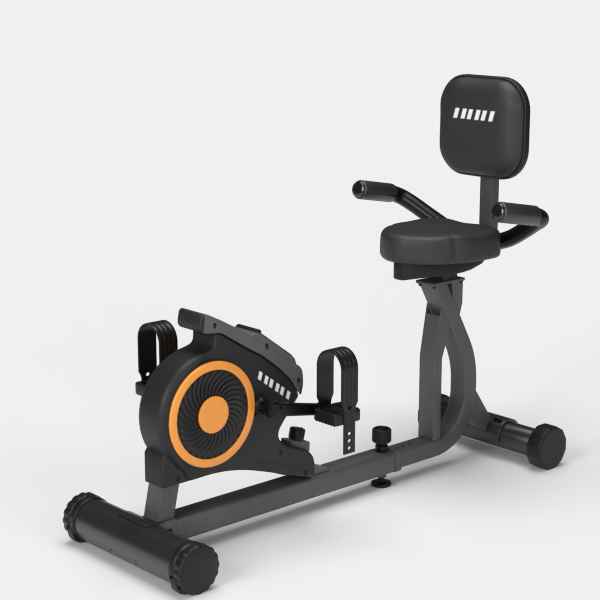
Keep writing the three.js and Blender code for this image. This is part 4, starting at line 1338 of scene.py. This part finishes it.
@dataclass
class Drive:
    """Crank arms, axle, pulley, flywheel, magnets, pedals and foot straps."""

    crank: tuple[float, float] = (312.0, 304.0)
    length: float = 150.0
    tilt: float = -11.5
    pedal_in: float = 99.0
    pedal_out: float = 175.0
    rise: float = 153.0
    tail: float = 82.0

    def arm(self) -> bpy.types.Mesh:
        """Left crank along +X from the origin: boss, tapering arm, eye and pedal spindle, in millimetres.

        Returns:
            The mesh.
        """
        outline = [*arc(0, 0, 15, 90, 270, 14), *arc(self.length, 0, 12.5, -90, 90, 14)]
        bar = slab(Plane.SIDE, outline, -92, -78, 3.2, 4)
        boss = turned([(0, -95.5), (13, -95.5), (14.5, -94.5), (19, -94), (19.6, -92), (19.6, -80), (17, -76),
                       (16, -58), (17.5, -56), (17.5, -53.5), (0, -53.5)], 0, 0, 56)
        eye = rod(15.5, self.length, 0, -94.5, -76, 1.6)
        spindle = rod(6, self.length, 0, -172, -94, 0.8, 32)
        arm = combined(Join.WELD, bar, boss, eye)
        arm = combined(Join.CUT, arm, rod(10.3, 0, 0, -86.3, -50, 0.2, 40))
        return merged(arm, spindle)

    def placed(self, mesh: bpy.types.Mesh, turn: float) -> bpy.types.Mesh:
        """The mesh turned about the origin by an angle in degrees and put on the crank's axle.

        Args:
            mesh: Form about the origin; changed in place.
            turn: Extra turn, in degrees.

        Returns:
            The mesh.
        """
        centred(mesh)
        mesh.transform(Matrix.Rotation(math.radians(-self.tilt - turn), 4, "Y"))
        mesh.transform(Matrix.Translation(row(self.crank[0], 0, self.crank[1])))
        return mesh

    def pedal(self) -> bpy.types.Mesh:
        """Left pedal about its spindle: a frame with two wells, cleats along both edges and an end boss.

        Returns:
            The mesh.
        """
        mid = -(self.pedal_in + self.pedal_out) / 2
        plate = slab(Plane.PLAN, rounded_rect(0, mid, 40, 38, 9, 5), -13, 13, 3, 3)
        wells = [slab(Plane.PLAN, rounded_rect(s * 22, mid, 9.5, 27, 3), -20, 20, 0.2, 1) for s in (-1, 1)]
        bore = rod(6.8, 0, 0, -173.5, -94, 0.2, 32)
        body = combined(Join.CUT, plate, *wells, bore)
        cleats = [slab(Plane.PLAN, rounded_rect(s * 35, mid + k * 9.4, 2.6, 2.6, 1.6, 3), -14.6, 14.6, 0.8)
                  for s in (-1, 1) for k in range(-3, 4)]
        mesh = merged(body, *cleats)
        centred(mesh)
        return mesh

    def strap(self) -> bpy.types.Mesh:
        """Left strap: a grooved band over the foot that narrows to a punched tail.

        Returns:
            The mesh.
        """
        inner, outer = -self.pedal_in + 1.8, -self.pedal_out - 1.8
        mid, bow = (inner + outer) / 2, (inner - outer) / 2
        crown = self.rise - bow - 1.5
        line = [(inner, z) for z in np.linspace(-12, crown, 14)[:-1]]
        line += arc(mid, crown, bow, 0, 180, 26)
        line += [(outer, z) for z in np.linspace(crown, -self.tail, 26)[1:]]
        rings = []
        for i, (y, z) in enumerate(line):
            a, b = line[max(i - 1, 0)], line[min(i + 1, len(line) - 1)]
            along = Vector((b[0] - a[0], b[1] - a[1])).normalized()
            out = Vector((along.y, -along.x))
            wide = 24.5 if z > 34 else 24.5 - 7.5 * min((34 - z) / 12, 1.0)
            ridge = 1.5 if z > 34 else 1.2
            section = [(-1, -ridge), (-1, ridge - 0.4), (-0.92, ridge), (-0.56, ridge), (-0.5, ridge - 0.7),
                       (-0.44, ridge), (-0.08, ridge), (0, ridge - 0.7), (0.08, ridge), (0.44, ridge),
                       (0.5, ridge - 0.7), (0.56, ridge), (0.92, ridge), (1, ridge - 0.4), (1, -ridge)]
            rings.append([(s * wide * MM, (y + out.x * h) * MM, (z + out.y * h) * MM) for s, h in section])
        band = skinned(rings)
        low, high = (outer - 4) * MM, (outer + 4) * MM
        holes = []
        for z in (-70, -53, -36, 24):
            turns = full_turn(20)
            holes.append(skinned([[(5.8 * MM * math.cos(t), y, (z + 4.8 * math.sin(t)) * MM) for t in turns]
                                  for y in (low, high)]))
        turns = full_turn(28)
        holes.append(skinned([[(7.6 * MM * math.cos(t), y, 7.6 * MM * math.sin(t)) for t in turns]
                              for y in ((inner - 4) * MM, (inner + 4) * MM)]))
        return combined(Join.CUT, band, *holes)

    def build(self) -> None:
        """Makes and dresses every piece."""
        show("crank_l", self.placed(self.arm(), 0), "black_coat", "crank", "crank_left")
        show("crank_r", self.placed(flipped(self.arm()), 180), "black_coat", "crank", "crank_right")
        swing = math.radians(self.tilt)
        for side, sign in (("left", 1), ("right", -1)):
            x = self.crank[0] + sign * self.length * math.cos(swing)
            z = self.crank[1] + sign * self.length * math.sin(swing)
            for make, slot, node in ((self.pedal, "black_plastic", "pedal"), (self.strap, "rubber", "strap")):
                mesh = make() if side == "left" else flipped(make())
                mesh.transform(Matrix.Translation(row(x, 0, z)))
                show(f"{node}_body_{side[0]}", mesh, slot, f"pedal_{side}", f"{node}_{side}")
        dress("steel", "crank_axle", "magnet_holder")
        dress("black_plastic", "drive_pulley")
        dress("cast_iron", "flywheel")


# ---- Rear of the bike ----------------------------------------------------------------------------


def spun(start: Vector, along: Vector, profile: Flat, sides: int = 40) -> bpy.types.Mesh:
    """Solid turned about a line, from (radius, distance along it) points in millimetres.

    Args:
        start: Where the line starts.
        along: Its direction.
        profile: Points of the profile.
        sides: Faces round the line.

    Returns:
        The mesh.
    """
    axis = along.normalized()
    across = axis.orthogonal().normalized()
    up = axis.cross(across)
    turns = full_turn(sides)
    rings = [[start + axis * (d * MM) + (across * math.cos(t) + up * math.sin(t)) * (r * MM) for t in turns]
             for r, d in profile]
    return skinned(rings, loop=profile[0][0] > 0)


def spline(points: Sequence[Vector], steps: int = 8) -> list[Vector]:
    """Centripetal curve through points.

    Args:
        points: Points that it passes.
        steps: Steps between two points.

    Returns:
        The points.
    """
    ends = [points[0] * 2 - points[1], *points, points[-1] * 2 - points[-2]]
    out: list[Vector] = []
    for p0, p1, p2, p3 in zip(ends, ends[1:], ends[2:], ends[3:]):
        t0, t1 = 0.0, (p1 - p0).length ** 0.5
        t2 = t1 + (p2 - p1).length ** 0.5
        t3 = t2 + (p3 - p2).length ** 0.5
        for i in range(steps):
            t = t1 + (t2 - t1) * i / steps
            a1 = p0.lerp(p1, (t - t0) / (t1 - t0))
            a2 = p1.lerp(p2, (t - t1) / (t2 - t1))
            a3 = p2.lerp(p3, (t - t2) / (t3 - t2))
            b1, b2 = a1.lerp(a2, (t - t0) / (t2 - t0)), a2.lerp(a3, (t - t1) / (t3 - t1))
            out.append(b1.lerp(b2, (t - t1) / (t2 - t1)))
    return [*out, points[-1]]


@dataclass
class RearFrame:
    """Bent tube, straight post, seat plate, rear leg and stabilizer with its caps."""

    half: float = 21.5
    half_width: float = 27.0
    height: float = 62.5
    bend: tuple[float, float] = (915.0, 125.0)
    bow: tuple[float, float] = (215.0, 210.0)
    lean: float = 29.4
    top: float = 487.0
    bar: tuple[float, float] = (1150.0, 55.0)
    bar_radius: float = 36.0
    bolt_turn: float = 118.0  # direction of the clamp's bolts from the bar, in degrees
    body: str = "rear_frame"

    def bent_tube(self) -> bpy.types.Mesh:
        """Bent tube with the row of lock holes in its top.

        Returns:
            The mesh.
        """
        (bx, br), (wz, wr) = self.bend, self.bow
        line = [(x, self.height) for x in np.linspace(560, bx, 12)[:-1]]
        line += arc(bx, self.height + br, br, -90, 0, 30) + [(bx + br, wz - 12)]
        line += arc(bx + br - wr, wz, wr, 0, self.lean, 14)
        x, z = line[-1]
        lean = math.radians(self.lean)
        for share in np.linspace(0.1, 1, 8):
            run = (self.top + 16 - z) / math.cos(lean) * share
            line.append((x - run * math.sin(lean), z + run * math.cos(lean)))
        section = [(u * MM, v * MM) for u, v in rounded_rect(0, 0, self.half_width, self.half, 5.5, 5)]
        tube = swept([Vector(row(u, 0, v)) for u, v in line], section, Vector((0, 1, 0)))
        above = slab(Plane.SIDE, [(860, self.top), (1000, self.top), (1000, 560), (860, 560)], -40, 40, 0.2,
                     1)
        holes = [slab(Plane.PLAN, arc(742 + 25 * k, 0, 5.8, 0, 360, 20)[:-1], 72, 90, 0.2, 1)
                 for k in range(-2, 5)]
        return combined(Join.CUT, tube, above, *holes)

    def stabilizer(self) -> bpy.types.Mesh:
        """Round tube of the rear foot.

        Returns:
            The mesh.
        """
        r = self.bar_radius
        profile = [(r - 3, -168), (r - 0.6, -168), (r, -167), (r, 167), (r - 0.6, 168), (r - 3, 168)]
        return turned(profile, *self.bar, 80)

    def clamp(self) -> bpy.types.Mesh:
        """Saddle band over the rear tube.

        Returns:
            The mesh.
        """
        x, z = self.bar
        low, high = self.bar_radius + 0.3, 43.6
        return slab(Plane.SIDE, [*arc(x, z, high, 20, 195, 36), *arc(x, z, low, 195, 20, 36)], -66, 66, 1.2)

    def cap(self) -> bpy.types.Mesh:
        """Left many-sided cap with a raised face.

        Returns:
            The mesh.
        """
        body = eased(copied("rear_cap_left"), 1.6, 3, 20)
        x, z = self.bar
        face = slab(Plane.SIDE, arc(x, z, 49.5, 15, 375, 12)[:-1], -212.4, -210, 0.8)
        return merged(body, face)

    def build(self) -> None:
        """Makes and dresses every piece."""
        show("bent_tube", self.bent_tube(), "frame_coat", self.body, "curved_tube")
        show("straight_post", eased(copied("seat_post"), 3.5, 4, 24), "frame_coat", self.body, "seat_post")
        show("mounting_plate", eased(copied("seat_plate"), 1.4, 2), "frame_coat", self.body, "seat_plate")
        show("leg_box", eased(copied("rear_leg"), 3.0, 3), "frame_coat", self.body, "rear_leg", sharp=25)
        show("clamp_band", self.clamp(), "gloss_coat", self.body, "rear_saddle")
        show("rear_tube", self.stabilizer(), "gloss_coat", self.body, "rear_stabilizer")
        cap = self.cap()
        show("rear_cap_l", cap, "black_plastic", "rear_cap_left", "rear_cap_left", sharp=18)
        show("rear_cap_r", flipped(cap), "black_plastic", "rear_cap_right", "rear_cap_right", sharp=18)
        x, z = self.bar
        turn, reach = math.radians(self.bolt_turn), self.bar_radius + 8
        places = [row(x + reach * math.cos(turn), y, z + reach * math.sin(turn)) for y in (-50, -36, 36, 50)]
        bolts = SCREW_SET.run(spots(places), "black_coat", Radius=6.5 * MM, Height=4.5 * MM,
                              Turn=(0.0, math.radians(90 - self.bolt_turn), 0.0))
        show("clamp_bolts", bolts, "black_coat", self.body)
        plate_low, plate_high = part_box("seat_plate")
        under = [(x, y, self.top * MM - 0.0008) for x in (plate_low.x + 0.008, plate_high.x - 0.008)
                 for y in (plate_low.y + 0.008, plate_high.y - 0.008)]
        bolts = SCREW_SET.run(spots(under), "black_coat", Radius=6 * MM, Height=4.5 * MM,
                              Turn=(math.pi, 0.0, 0.0))
        show("plate_bolts", bolts, "black_coat", self.body)


# ---- Seat, backrest and handles ------------------------------------------------------------------


def spread(mesh: bpy.types.Mesh, move: np.ndarray, rounds: int) -> np.ndarray:
    """Evens out a movement over a mesh, so that tight leather shows no wrinkles.

    Args:
        mesh: Mesh that the movement belongs to.
        move: One movement per vertex.
        rounds: How often each vertex takes half of its neighbours' mean.

    Returns:
        The evened movement.
    """
    edges = np.array([edge.vertices[:] for edge in mesh.edges])
    count = np.bincount(edges.ravel(), minlength=len(move))[:, None]
    for _ in range(rounds):
        total = np.zeros_like(move)
        np.add.at(total, edges[:, 0], move[edges[:, 1]])
        np.add.at(total, edges[:, 1], move[edges[:, 0]])
        move = (move + total / np.maximum(count, 1)) / 2
    return move


def puffed(mesh: bpy.types.Mesh, voxel: float, cap: float, held: Callable[[Vector], bool]) -> bpy.types.Mesh:
    """Remeshes a pad evenly and swells it by cloth pressure.

    Args:
        mesh: Closed start form.
        voxel: Face size of the remesh, in millimetres.
        cap: Furthest that a point may move, in millimetres.
        held: Whether a point stays where it is.

    Returns:
        The swollen form, subdivided once.
    """
    piece = bench(mesh)
    step = piece.modifiers.new("even", "REMESH")
    step.mode, step.voxel_size = "VOXEL", voxel * MM
    even = evaluated(piece)
    rest = np.array([v.co for v in even.vertices])
    piece = bench(even.copy())
    group = piece.vertex_groups.new(name="held")
    group.add([v.index for v in even.vertices if held(v.co)], 1.0, "REPLACE")
    cloth = piece.modifiers.new("swell", "CLOTH")
    cloth.settings.quality = 5
    cloth.settings.use_pressure = True
    cloth.settings.uniform_pressure_force = 4.0
    cloth.settings.effector_weights.gravity = 0.0
    cloth.settings.vertex_group_mass = "held"
    cloth.settings.tension_stiffness = cloth.settings.compression_stiffness = 30.0
    cloth.point_cache.frame_start, cloth.point_cache.frame_end = 1, 20
    for tick in range(1, 21):
        bpy.context.scene.frame_set(tick)
    swollen = evaluated(piece)
    bpy.context.scene.frame_set(1)
    move = spread(even, np.array([v.co for v in swollen.vertices]) - rest, 60)
    length = np.maximum(np.linalg.norm(move, axis=1), 1e-9)[:, None]
    limit = cap * MM
    even.vertices.foreach_set("co", (rest + move / length * limit * np.tanh(length / limit)).ravel())
    piece = bench(even)
    relax = piece.modifiers.new("relax", "SMOOTH")
    relax.factor, relax.iterations = 0.5, 6
    fine = piece.modifiers.new("fine", "SUBSURF")
    fine.levels = fine.render_levels = 1
    return evaluated(piece)


@dataclass
class Saddle:
    """Pan and padded seat."""

    bottom: float = 558.6
    top: float = 626.0
    body: str = "rear_frame"
    half_plan: tuple = ((770, 8), (773, 22), (780, 38), (791, 57), (810, 82), (832, 100), (856, 113),
                        (880, 121),
                        (900, 128), (930, 132), (975, 136), (1012, 132), (1036, 117), (1052, 90), (1057, 50))

    def cushion(self) -> bpy.types.Mesh:
        """Crowned leather pad, flat underneath, with a hollow between the nose and each wing.

        Returns:
            The mesh.
        """
        right = list(self.half_plan)
        outline = tidy(smooth([*reversed(right), *[(x, -y) for x, y in right]], 2))
        levels = [(self.bottom, 3.0), (self.bottom + 3, 0.6), (self.bottom + 10, 0.0), (self.top - 14, 0.0),
                  (self.top - 8, 1.3), (self.top - 3.6, 4.4), (self.top - 1, 8.5), (self.top, 14.0)]
        rings = [[row(u, v, z) for u, v in inset(outline, [d] * len(outline))] for z, d in levels]
        form = puffed(skinned(rings), 5.0, 5.0, lambda p: p.z < (self.bottom + 4) * MM)
        self.crown(form)
        return form

    def crown(self, form: bpy.types.Mesh) -> None:
        """Dishes the sitting surface a little and presses the flank seams in.

        Args:
            form: The swollen pad; changed in place.
        """
        for v in form.vertices:
            x, y, z = (v.co.x - FRONT_AXLE) / MM, v.co.y / MM, v.co.z / MM
            if z > self.top - 22:
                side = 1 - math.exp(-((abs(y) - 62) / 42) ** 2) * 0.9
                dish = 3.2 * math.exp(-(((x - 960) / 62) ** 2)) * side
                v.co.z -= dish * MM * min((z - self.top + 22) / 12, 1.0)
            near = math.exp(-(((x - 869) / 10) ** 2)) * min(max((abs(y) - 80) / 20, 0), 1)
            v.co.y -= math.copysign(3.0 * near * MM, y)

    def build(self) -> None:
        """Makes and dresses every piece."""
        show("seat_base", eased(copied("seat_pan"), 4.0, 4), "black_plastic", self.body, "seat_pan")
        pad = show("seat_pad", self.cushion(), "leather", self.body, "seat_cushion", sharp=80)


@dataclass
class Backrest:
    """Post, rear shell, padded front, the welt between them and its stitches."""

    front: float = 1056.0
    joint: float = 1089.6
    half: float = 138.0
    low: float = 739.0
    high: float = 988.0
    corner: float = 78.0
    body: str = "rear_frame"

    def line(self, grow: float, steps: int = 10) -> list[tuple[float, float]]:
        """Outline in the front view, grown by an amount."""
        middle_z, half_z = (self.low + self.high) / 2, (self.high - self.low) / 2
        return tidy(rounded_rect(0, middle_z, self.half + grow, half_z + grow, self.corner + grow, steps))

    def cushion(self) -> bpy.types.Mesh:
        """Pillow form: a broad rounding from the rim to the face.

        Returns:
            The mesh.
        """
        outline = self.line(-2.0)
        depth = self.joint - self.front
        rings = [[row(self.joint, u, v) for u, v in inset(outline, [2.0] * len(outline))]]
        for i in range(11):
            t = math.pi / 2 * i / 10
            line = inset(outline, [33 * (1 - math.cos(t)) ** 0.9] * len(outline))
            rings.append([row(self.joint - 5 - (depth - 5) * math.sin(t), u, v) for u, v in line])
        limit = row(self.joint - 4, 0, 0)[0]
        return puffed(skinned(rings), 4.5, 5.0, lambda p: p.x > limit)

    def welt(self) -> bpy.types.Mesh:
        """Round cord sewn in all round the rim.

        Returns:
            The mesh.
        """
        path = [Vector(row(self.joint - 3.2, u, v)) for u, v in self.line(-0.6, 14)]
        rings = []
        for i, p in enumerate(path):
            along = (path[(i + 1) % len(path)] - path[i - 1]).normalized()
            across = Vector((1, 0, 0))
            out = along.cross(across).normalized()
            rings.append([p + (across * math.cos(t) + out * math.sin(t)) * (2.2 * MM)
                          for t in full_turn(10)])
        return skinned(rings, loop=True)

    def shell(self) -> bpy.types.Mesh:
        """Rear shell with a rounded rim and a raised panel behind the post.

        Returns:
            The mesh.
        """
        outline = self.line(2.0)
        rings = []
        for x, d in [(1090, 3), (1090, 0.8), (1091, 0), (1098, 0), (1102, 1.4), (1105, 5), (1107, 12),
                     (1107.4, 20)]:
            rings.append([row(x, u, v) for u, v in inset(outline, [d] * len(outline))])
        return skinned(rings)

    def build(self) -> None:
        """Makes and dresses every piece."""
        show("backrest_arm", eased(copied("backrest_post"), 3.5, 4, 24), "frame_coat", self.body,
             "backrest_post")
        show("back_shell", self.shell(), "black_plastic", self.body, "backrest_shell")
        pad = show("back_pad", self.cushion(), "leather", self.body, "backrest_cushion", sharp=80)
        show("back_welt", self.welt(), "leather", self.body)
        seam = [row(self.joint - 8.5, u, v) for u, v in self.line(-1.6, 14)]
        stitches = BEAD_RUN.run(spots(seam, True), "rubber", Pitch=5 * MM, Length=1.9 * MM, Radius=0.5 * MM)
        show("back_stitches", stitches, "rubber", self.body)
        plate = slab(Plane.FRONT, rounded_rect(0, 800, 34, 22, 5), 1107.2, 1108.2, 0.4)
        show("back_bracket", plate, "frame_coat", self.body)


@dataclass
class Handles:
    """Bent hand bar, its clamp, foam grips and end plugs."""

    radius: float = 20.0
    grip_radius: float = 24.0
    body: str = "rear_frame"
    left: tuple = ((1086, 0, 576.8), (1086, -48, 577), (1080, -100, 592), (1067, -155, 620),
                   (1052, -205, 649),
                   (1040, -232, 664), (1018, -240, 674), (985, -238, 681), (885, -232, 699))

    def bar(self) -> bpy.types.Mesh:
        """The bar from the right grip's end to the left one's.

        Returns:
            The mesh.
        """
        half = [Vector(row(*p)) for p in self.left]
        other = [Vector((p.x, -p.y, p.z)) for p in half[1:]]
        return swept(spline([*reversed(half), *other], 10), ring_section(self.radius, 32))

    def grip(self) -> tuple[bpy.types.Mesh, bpy.types.Mesh]:
        """Left foam sleeve and its end plug.

        Returns:
            Both meshes, in that order.
        """
        start, end = Vector(row(1010, -239.6, 676.3)), Vector(row(885, -232, 699))
        along = end - start
        r, length = self.grip_radius, along.length / MM
        a = length - 126
        bore = self.radius + 0.6
        sleeve = [(bore, a), (r - 2.6, a), (r - 1, a + 1.2), (r, a + 4.5), (r, length - 3.5),
                  (r - 1, length - 0.8),
                  (r - 3, length + 0.4), (bore, length + 0.4)]
        plug = [(0, length + 1), (r - 4.6, length + 1), (r - 3.6, length + 2), (r - 3.8, length + 4.4),
                (r - 6, length + 6),
                (r - 12, length + 7.2), (0, length + 8)]
        return spun(start, along, sleeve, 64), spun(start, along, plug, 56)

    def build(self) -> None:
        """Makes and dresses every piece."""
        show("hand_bar", self.bar(), "black_coat", self.body, "handlebar", sharp=60)
        show("bar_strap", eased(copied("bar_clamp"), 0.6, 2), "frame_coat", self.body, "bar_clamp")
        sleeve, plug = self.grip()
        for mesh, slot, node in ((sleeve, "foam", "grip"), (plug, "plug_plastic", "grip_plug")):
            show(f"{node}_r_form", flipped(mesh), slot, self.body, f"{node}_right", sharp=50)
            show(f"{node}_l_form", mesh, slot, self.body, f"{node}_left", sharp=50)


@dataclass
class Prints:
    """Plain slanted white bars where such a bike carries its maker's print."""

    count: int = 6
    tone: tuple[float, float, float] = (0.82, 0.82, 0.82)

    def bars(self, start: Vector, run: Vector, rise: Vector, width: float,
             onto: Callable[[Vector], Vector]) -> bpy.types.Mesh:
        """Row of bars laid on a surface.

        Args:
            start: Lower corner of the row.
            run: Whole length and direction of the row.
            rise: Height and direction of a bar.
            width: Share of the pitch that a bar fills.
            onto: Moves a point on to the surface.

        Returns:
            The thin closed bars.
        """
        shells = []
        pitch = run / self.count
        for k in range(self.count):
            base = start + pitch * k + pitch * 0.1 * (k % 2)
            rings = []
            for i in range(7):
                a = base + rise * (i / 6) + pitch * (0.35 * i / 6)
                b = a + pitch * width
                low = [onto(a.lerp(b, j / 3)) for j in range(4)]
                out = (low[1] - low[0]).cross(rise).normalized() * 0.0003
                rings.append([p - out for p in low] + [p + out for p in reversed(low)])
            shells.append(skinned(rings))
        return merged(*shells)

    def material(self) -> bpy.types.Material:
        """White ink with a faint break-up.

        Returns:
            The material.
        """
        graph = Graph("white_print")
        speckle = graph.ramp(graph.noise(500, 3.0), [(0.3, 0.0), (0.6, 1.0)])
        return graph.surface({
            "Base Color": graph.blend(speckle, tuple(c * 0.93 for c in self.tone), self.tone),
            "Roughness": speckle * 0.1 + 0.45,
            "Normal": graph.bump(speckle, 0.01),
        })

    def build(self) -> None:
        """Makes the bars on the casing's left side and on the backrest."""
        MATERIALS["print"] = self.material()
        wall = -0.0403
        slope = Vector((98, 0, -72)) * MM
        casing = self.bars(Vector(row(307, -40.3, 366)), slope, Vector((0, 0, 0.021)), 0.52,
                           lambda p: Vector((p.x, wall, p.z)))
        pad = bpy.data.objects["back_pad"]

        def on_pad(p: Vector) -> Vector:
            """Point of the pad's face in front of p."""
            hit, place, _, _ = pad.ray_cast(Vector((p.x - 0.2, p.y, p.z)), Vector((1, 0, 0)))
            return Vector((place.x - 0.0003, p.y, p.z)) if hit else p

        back = self.bars(Vector(row(1052, 66, 884)), Vector((0, -0.136, 0)), Vector((0, 0, 0.025)), 0.55,
                         on_pad)
        for name, mesh, body in (("casing_bars", casing, "front_frame"), ("back_bars", back, "rear_frame")):
            piece = bpy.data.objects.new(name, mesh)
            mesh.name = name
            mesh.materials.append(MATERIALS["print"])
            bpy.context.scene.collection.objects.link(piece)
            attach(piece, body)


# ---- Studio --------------------------------------------------------------------------------------


@dataclass
class Studio:
    """Pale floor, soft lights and the camera."""

    eye: tuple[float, float, float] = (-2.35225, -2.47936, 1.28371)
    turn: tuple[float, float, float] = (77.031, 0.0, -42.179)
    lens: float = 89.97
    backdrop: float = 0.875
    fill: float = 0.07

    def floor(self) -> None:
        """Wide pale floor that the feet stand on."""
        size = 120.0
        mesh = bpy.data.meshes.new("floor")
        mesh.from_pydata([(-size, -size, 0), (size, -size, 0), (size, size, 0), (-size, size, 0)], [],
                         [(0, 1, 2, 3)])
        graph = Graph("floor_finish")
        haze = graph.ramp(graph.noise(3.0, 2.0), [(0.3, 0.0), (0.7, 1.0)])
        mesh.materials.append(graph.surface({
            "Base Color": graph.blend(haze, (0.86, 0.86, 0.86), (0.88, 0.88, 0.88)),
            "Roughness": haze * 0.1 + 0.7,
            "Specular IOR Level": 0.1,
        }))
        floor = bpy.data.objects.new("floor", mesh)
        floor.is_shadow_catcher = True
        bpy.context.scene.collection.objects.link(floor)

    def world(self) -> None:
        """Pale backdrop with a dimmer glow on the object."""
        world = bpy.data.worlds.new("studio")
        bpy.context.scene.world = world
        world.use_nodes = True
        tree = world.node_tree
        tree.nodes.clear()
        path = tree.nodes.new("ShaderNodeLightPath")
        seen, glow = tree.nodes.new("ShaderNodeBackground"), tree.nodes.new("ShaderNodeBackground")
        seen.inputs["Color"].default_value = (self.backdrop, self.backdrop, self.backdrop, 1)
        glow.inputs["Color"].default_value = (self.fill, self.fill, self.fill, 1)
        mix, out = tree.nodes.new("ShaderNodeMixShader"), tree.nodes.new("ShaderNodeOutputWorld")
        tree.links.new(path.outputs["Is Camera Ray"], mix.inputs["Fac"])
        tree.links.new(glow.outputs[0], mix.inputs[1])
        tree.links.new(seen.outputs[0], mix.inputs[2])
        tree.links.new(mix.outputs[0], out.inputs["Surface"])

    def light(self, name: str, place: Sequence[float], aim: Sequence[float], size: tuple[float, float],
              power: float) -> None:
        """Soft rectangular light at a place, aimed at a point.

        Args:
            name: Name of the light.
            place: Where it stands.
            aim: Point that it faces.
            size: Width and height, in metres.
            power: Power in watts.
        """
        lamp = bpy.data.lights.new(name, "AREA")
        lamp.shape, lamp.size, lamp.size_y = "RECTANGLE", size[0], size[1]
        lamp.energy = power
        piece = bpy.data.objects.new(name, lamp)
        piece.location = place
        piece.rotation_euler = (Vector(aim) - Vector(place)).to_track_quat("-Z", "Y").to_euler()
        bpy.context.scene.collection.objects.link(piece)

    def camera(self) -> None:
        """Camera at the front left."""
        data = bpy.data.cameras.new("camera")
        data.lens, data.sensor_width = self.lens, 36.0
        data.clip_end = 100.0
        piece = bpy.data.objects.new("camera", data)
        piece.location = self.eye
        piece.rotation_euler = [math.radians(a) for a in self.turn]
        bpy.context.scene.collection.objects.link(piece)
        bpy.context.scene.camera = piece

    def build(self) -> None:
        """Sets the studio up."""
        self.floor()
        self.world()
        self.camera()
        self.light("front_key", (-4.2, -0.6, 2.2), (0, 0, 0.4), (2.2, 2.2), 120)
        self.light("side_key", (0.2, -4.2, 2.4), (0, 0, 0.4), (2.6, 2.0), 50)
        self.light("edge_glow", (-2.6, -3.3, 1.5), (0, 0, 0.4), (0.9, 2.4), 34)
        self.light("overhead", (0.1, 0.2, 4.4), (0, 0, 0.3), (3.2, 3.2), 165)
        bpy.context.scene.view_settings.view_transform = "Standard"


def main() -> None:
    """Builds the bike and its studio."""
    logging.basicConfig(level=logging.INFO, format="%(message)s")
    for part in (Studio(), FrontFoot(), Rail(), Casing(), Drive(), RearFrame(), Saddle(), Backrest(),
                 Handles(), Prints()):
        part.build()
        LOG.info("built %s", type(part).__name__)


if __name__ == "__main__":
    main()
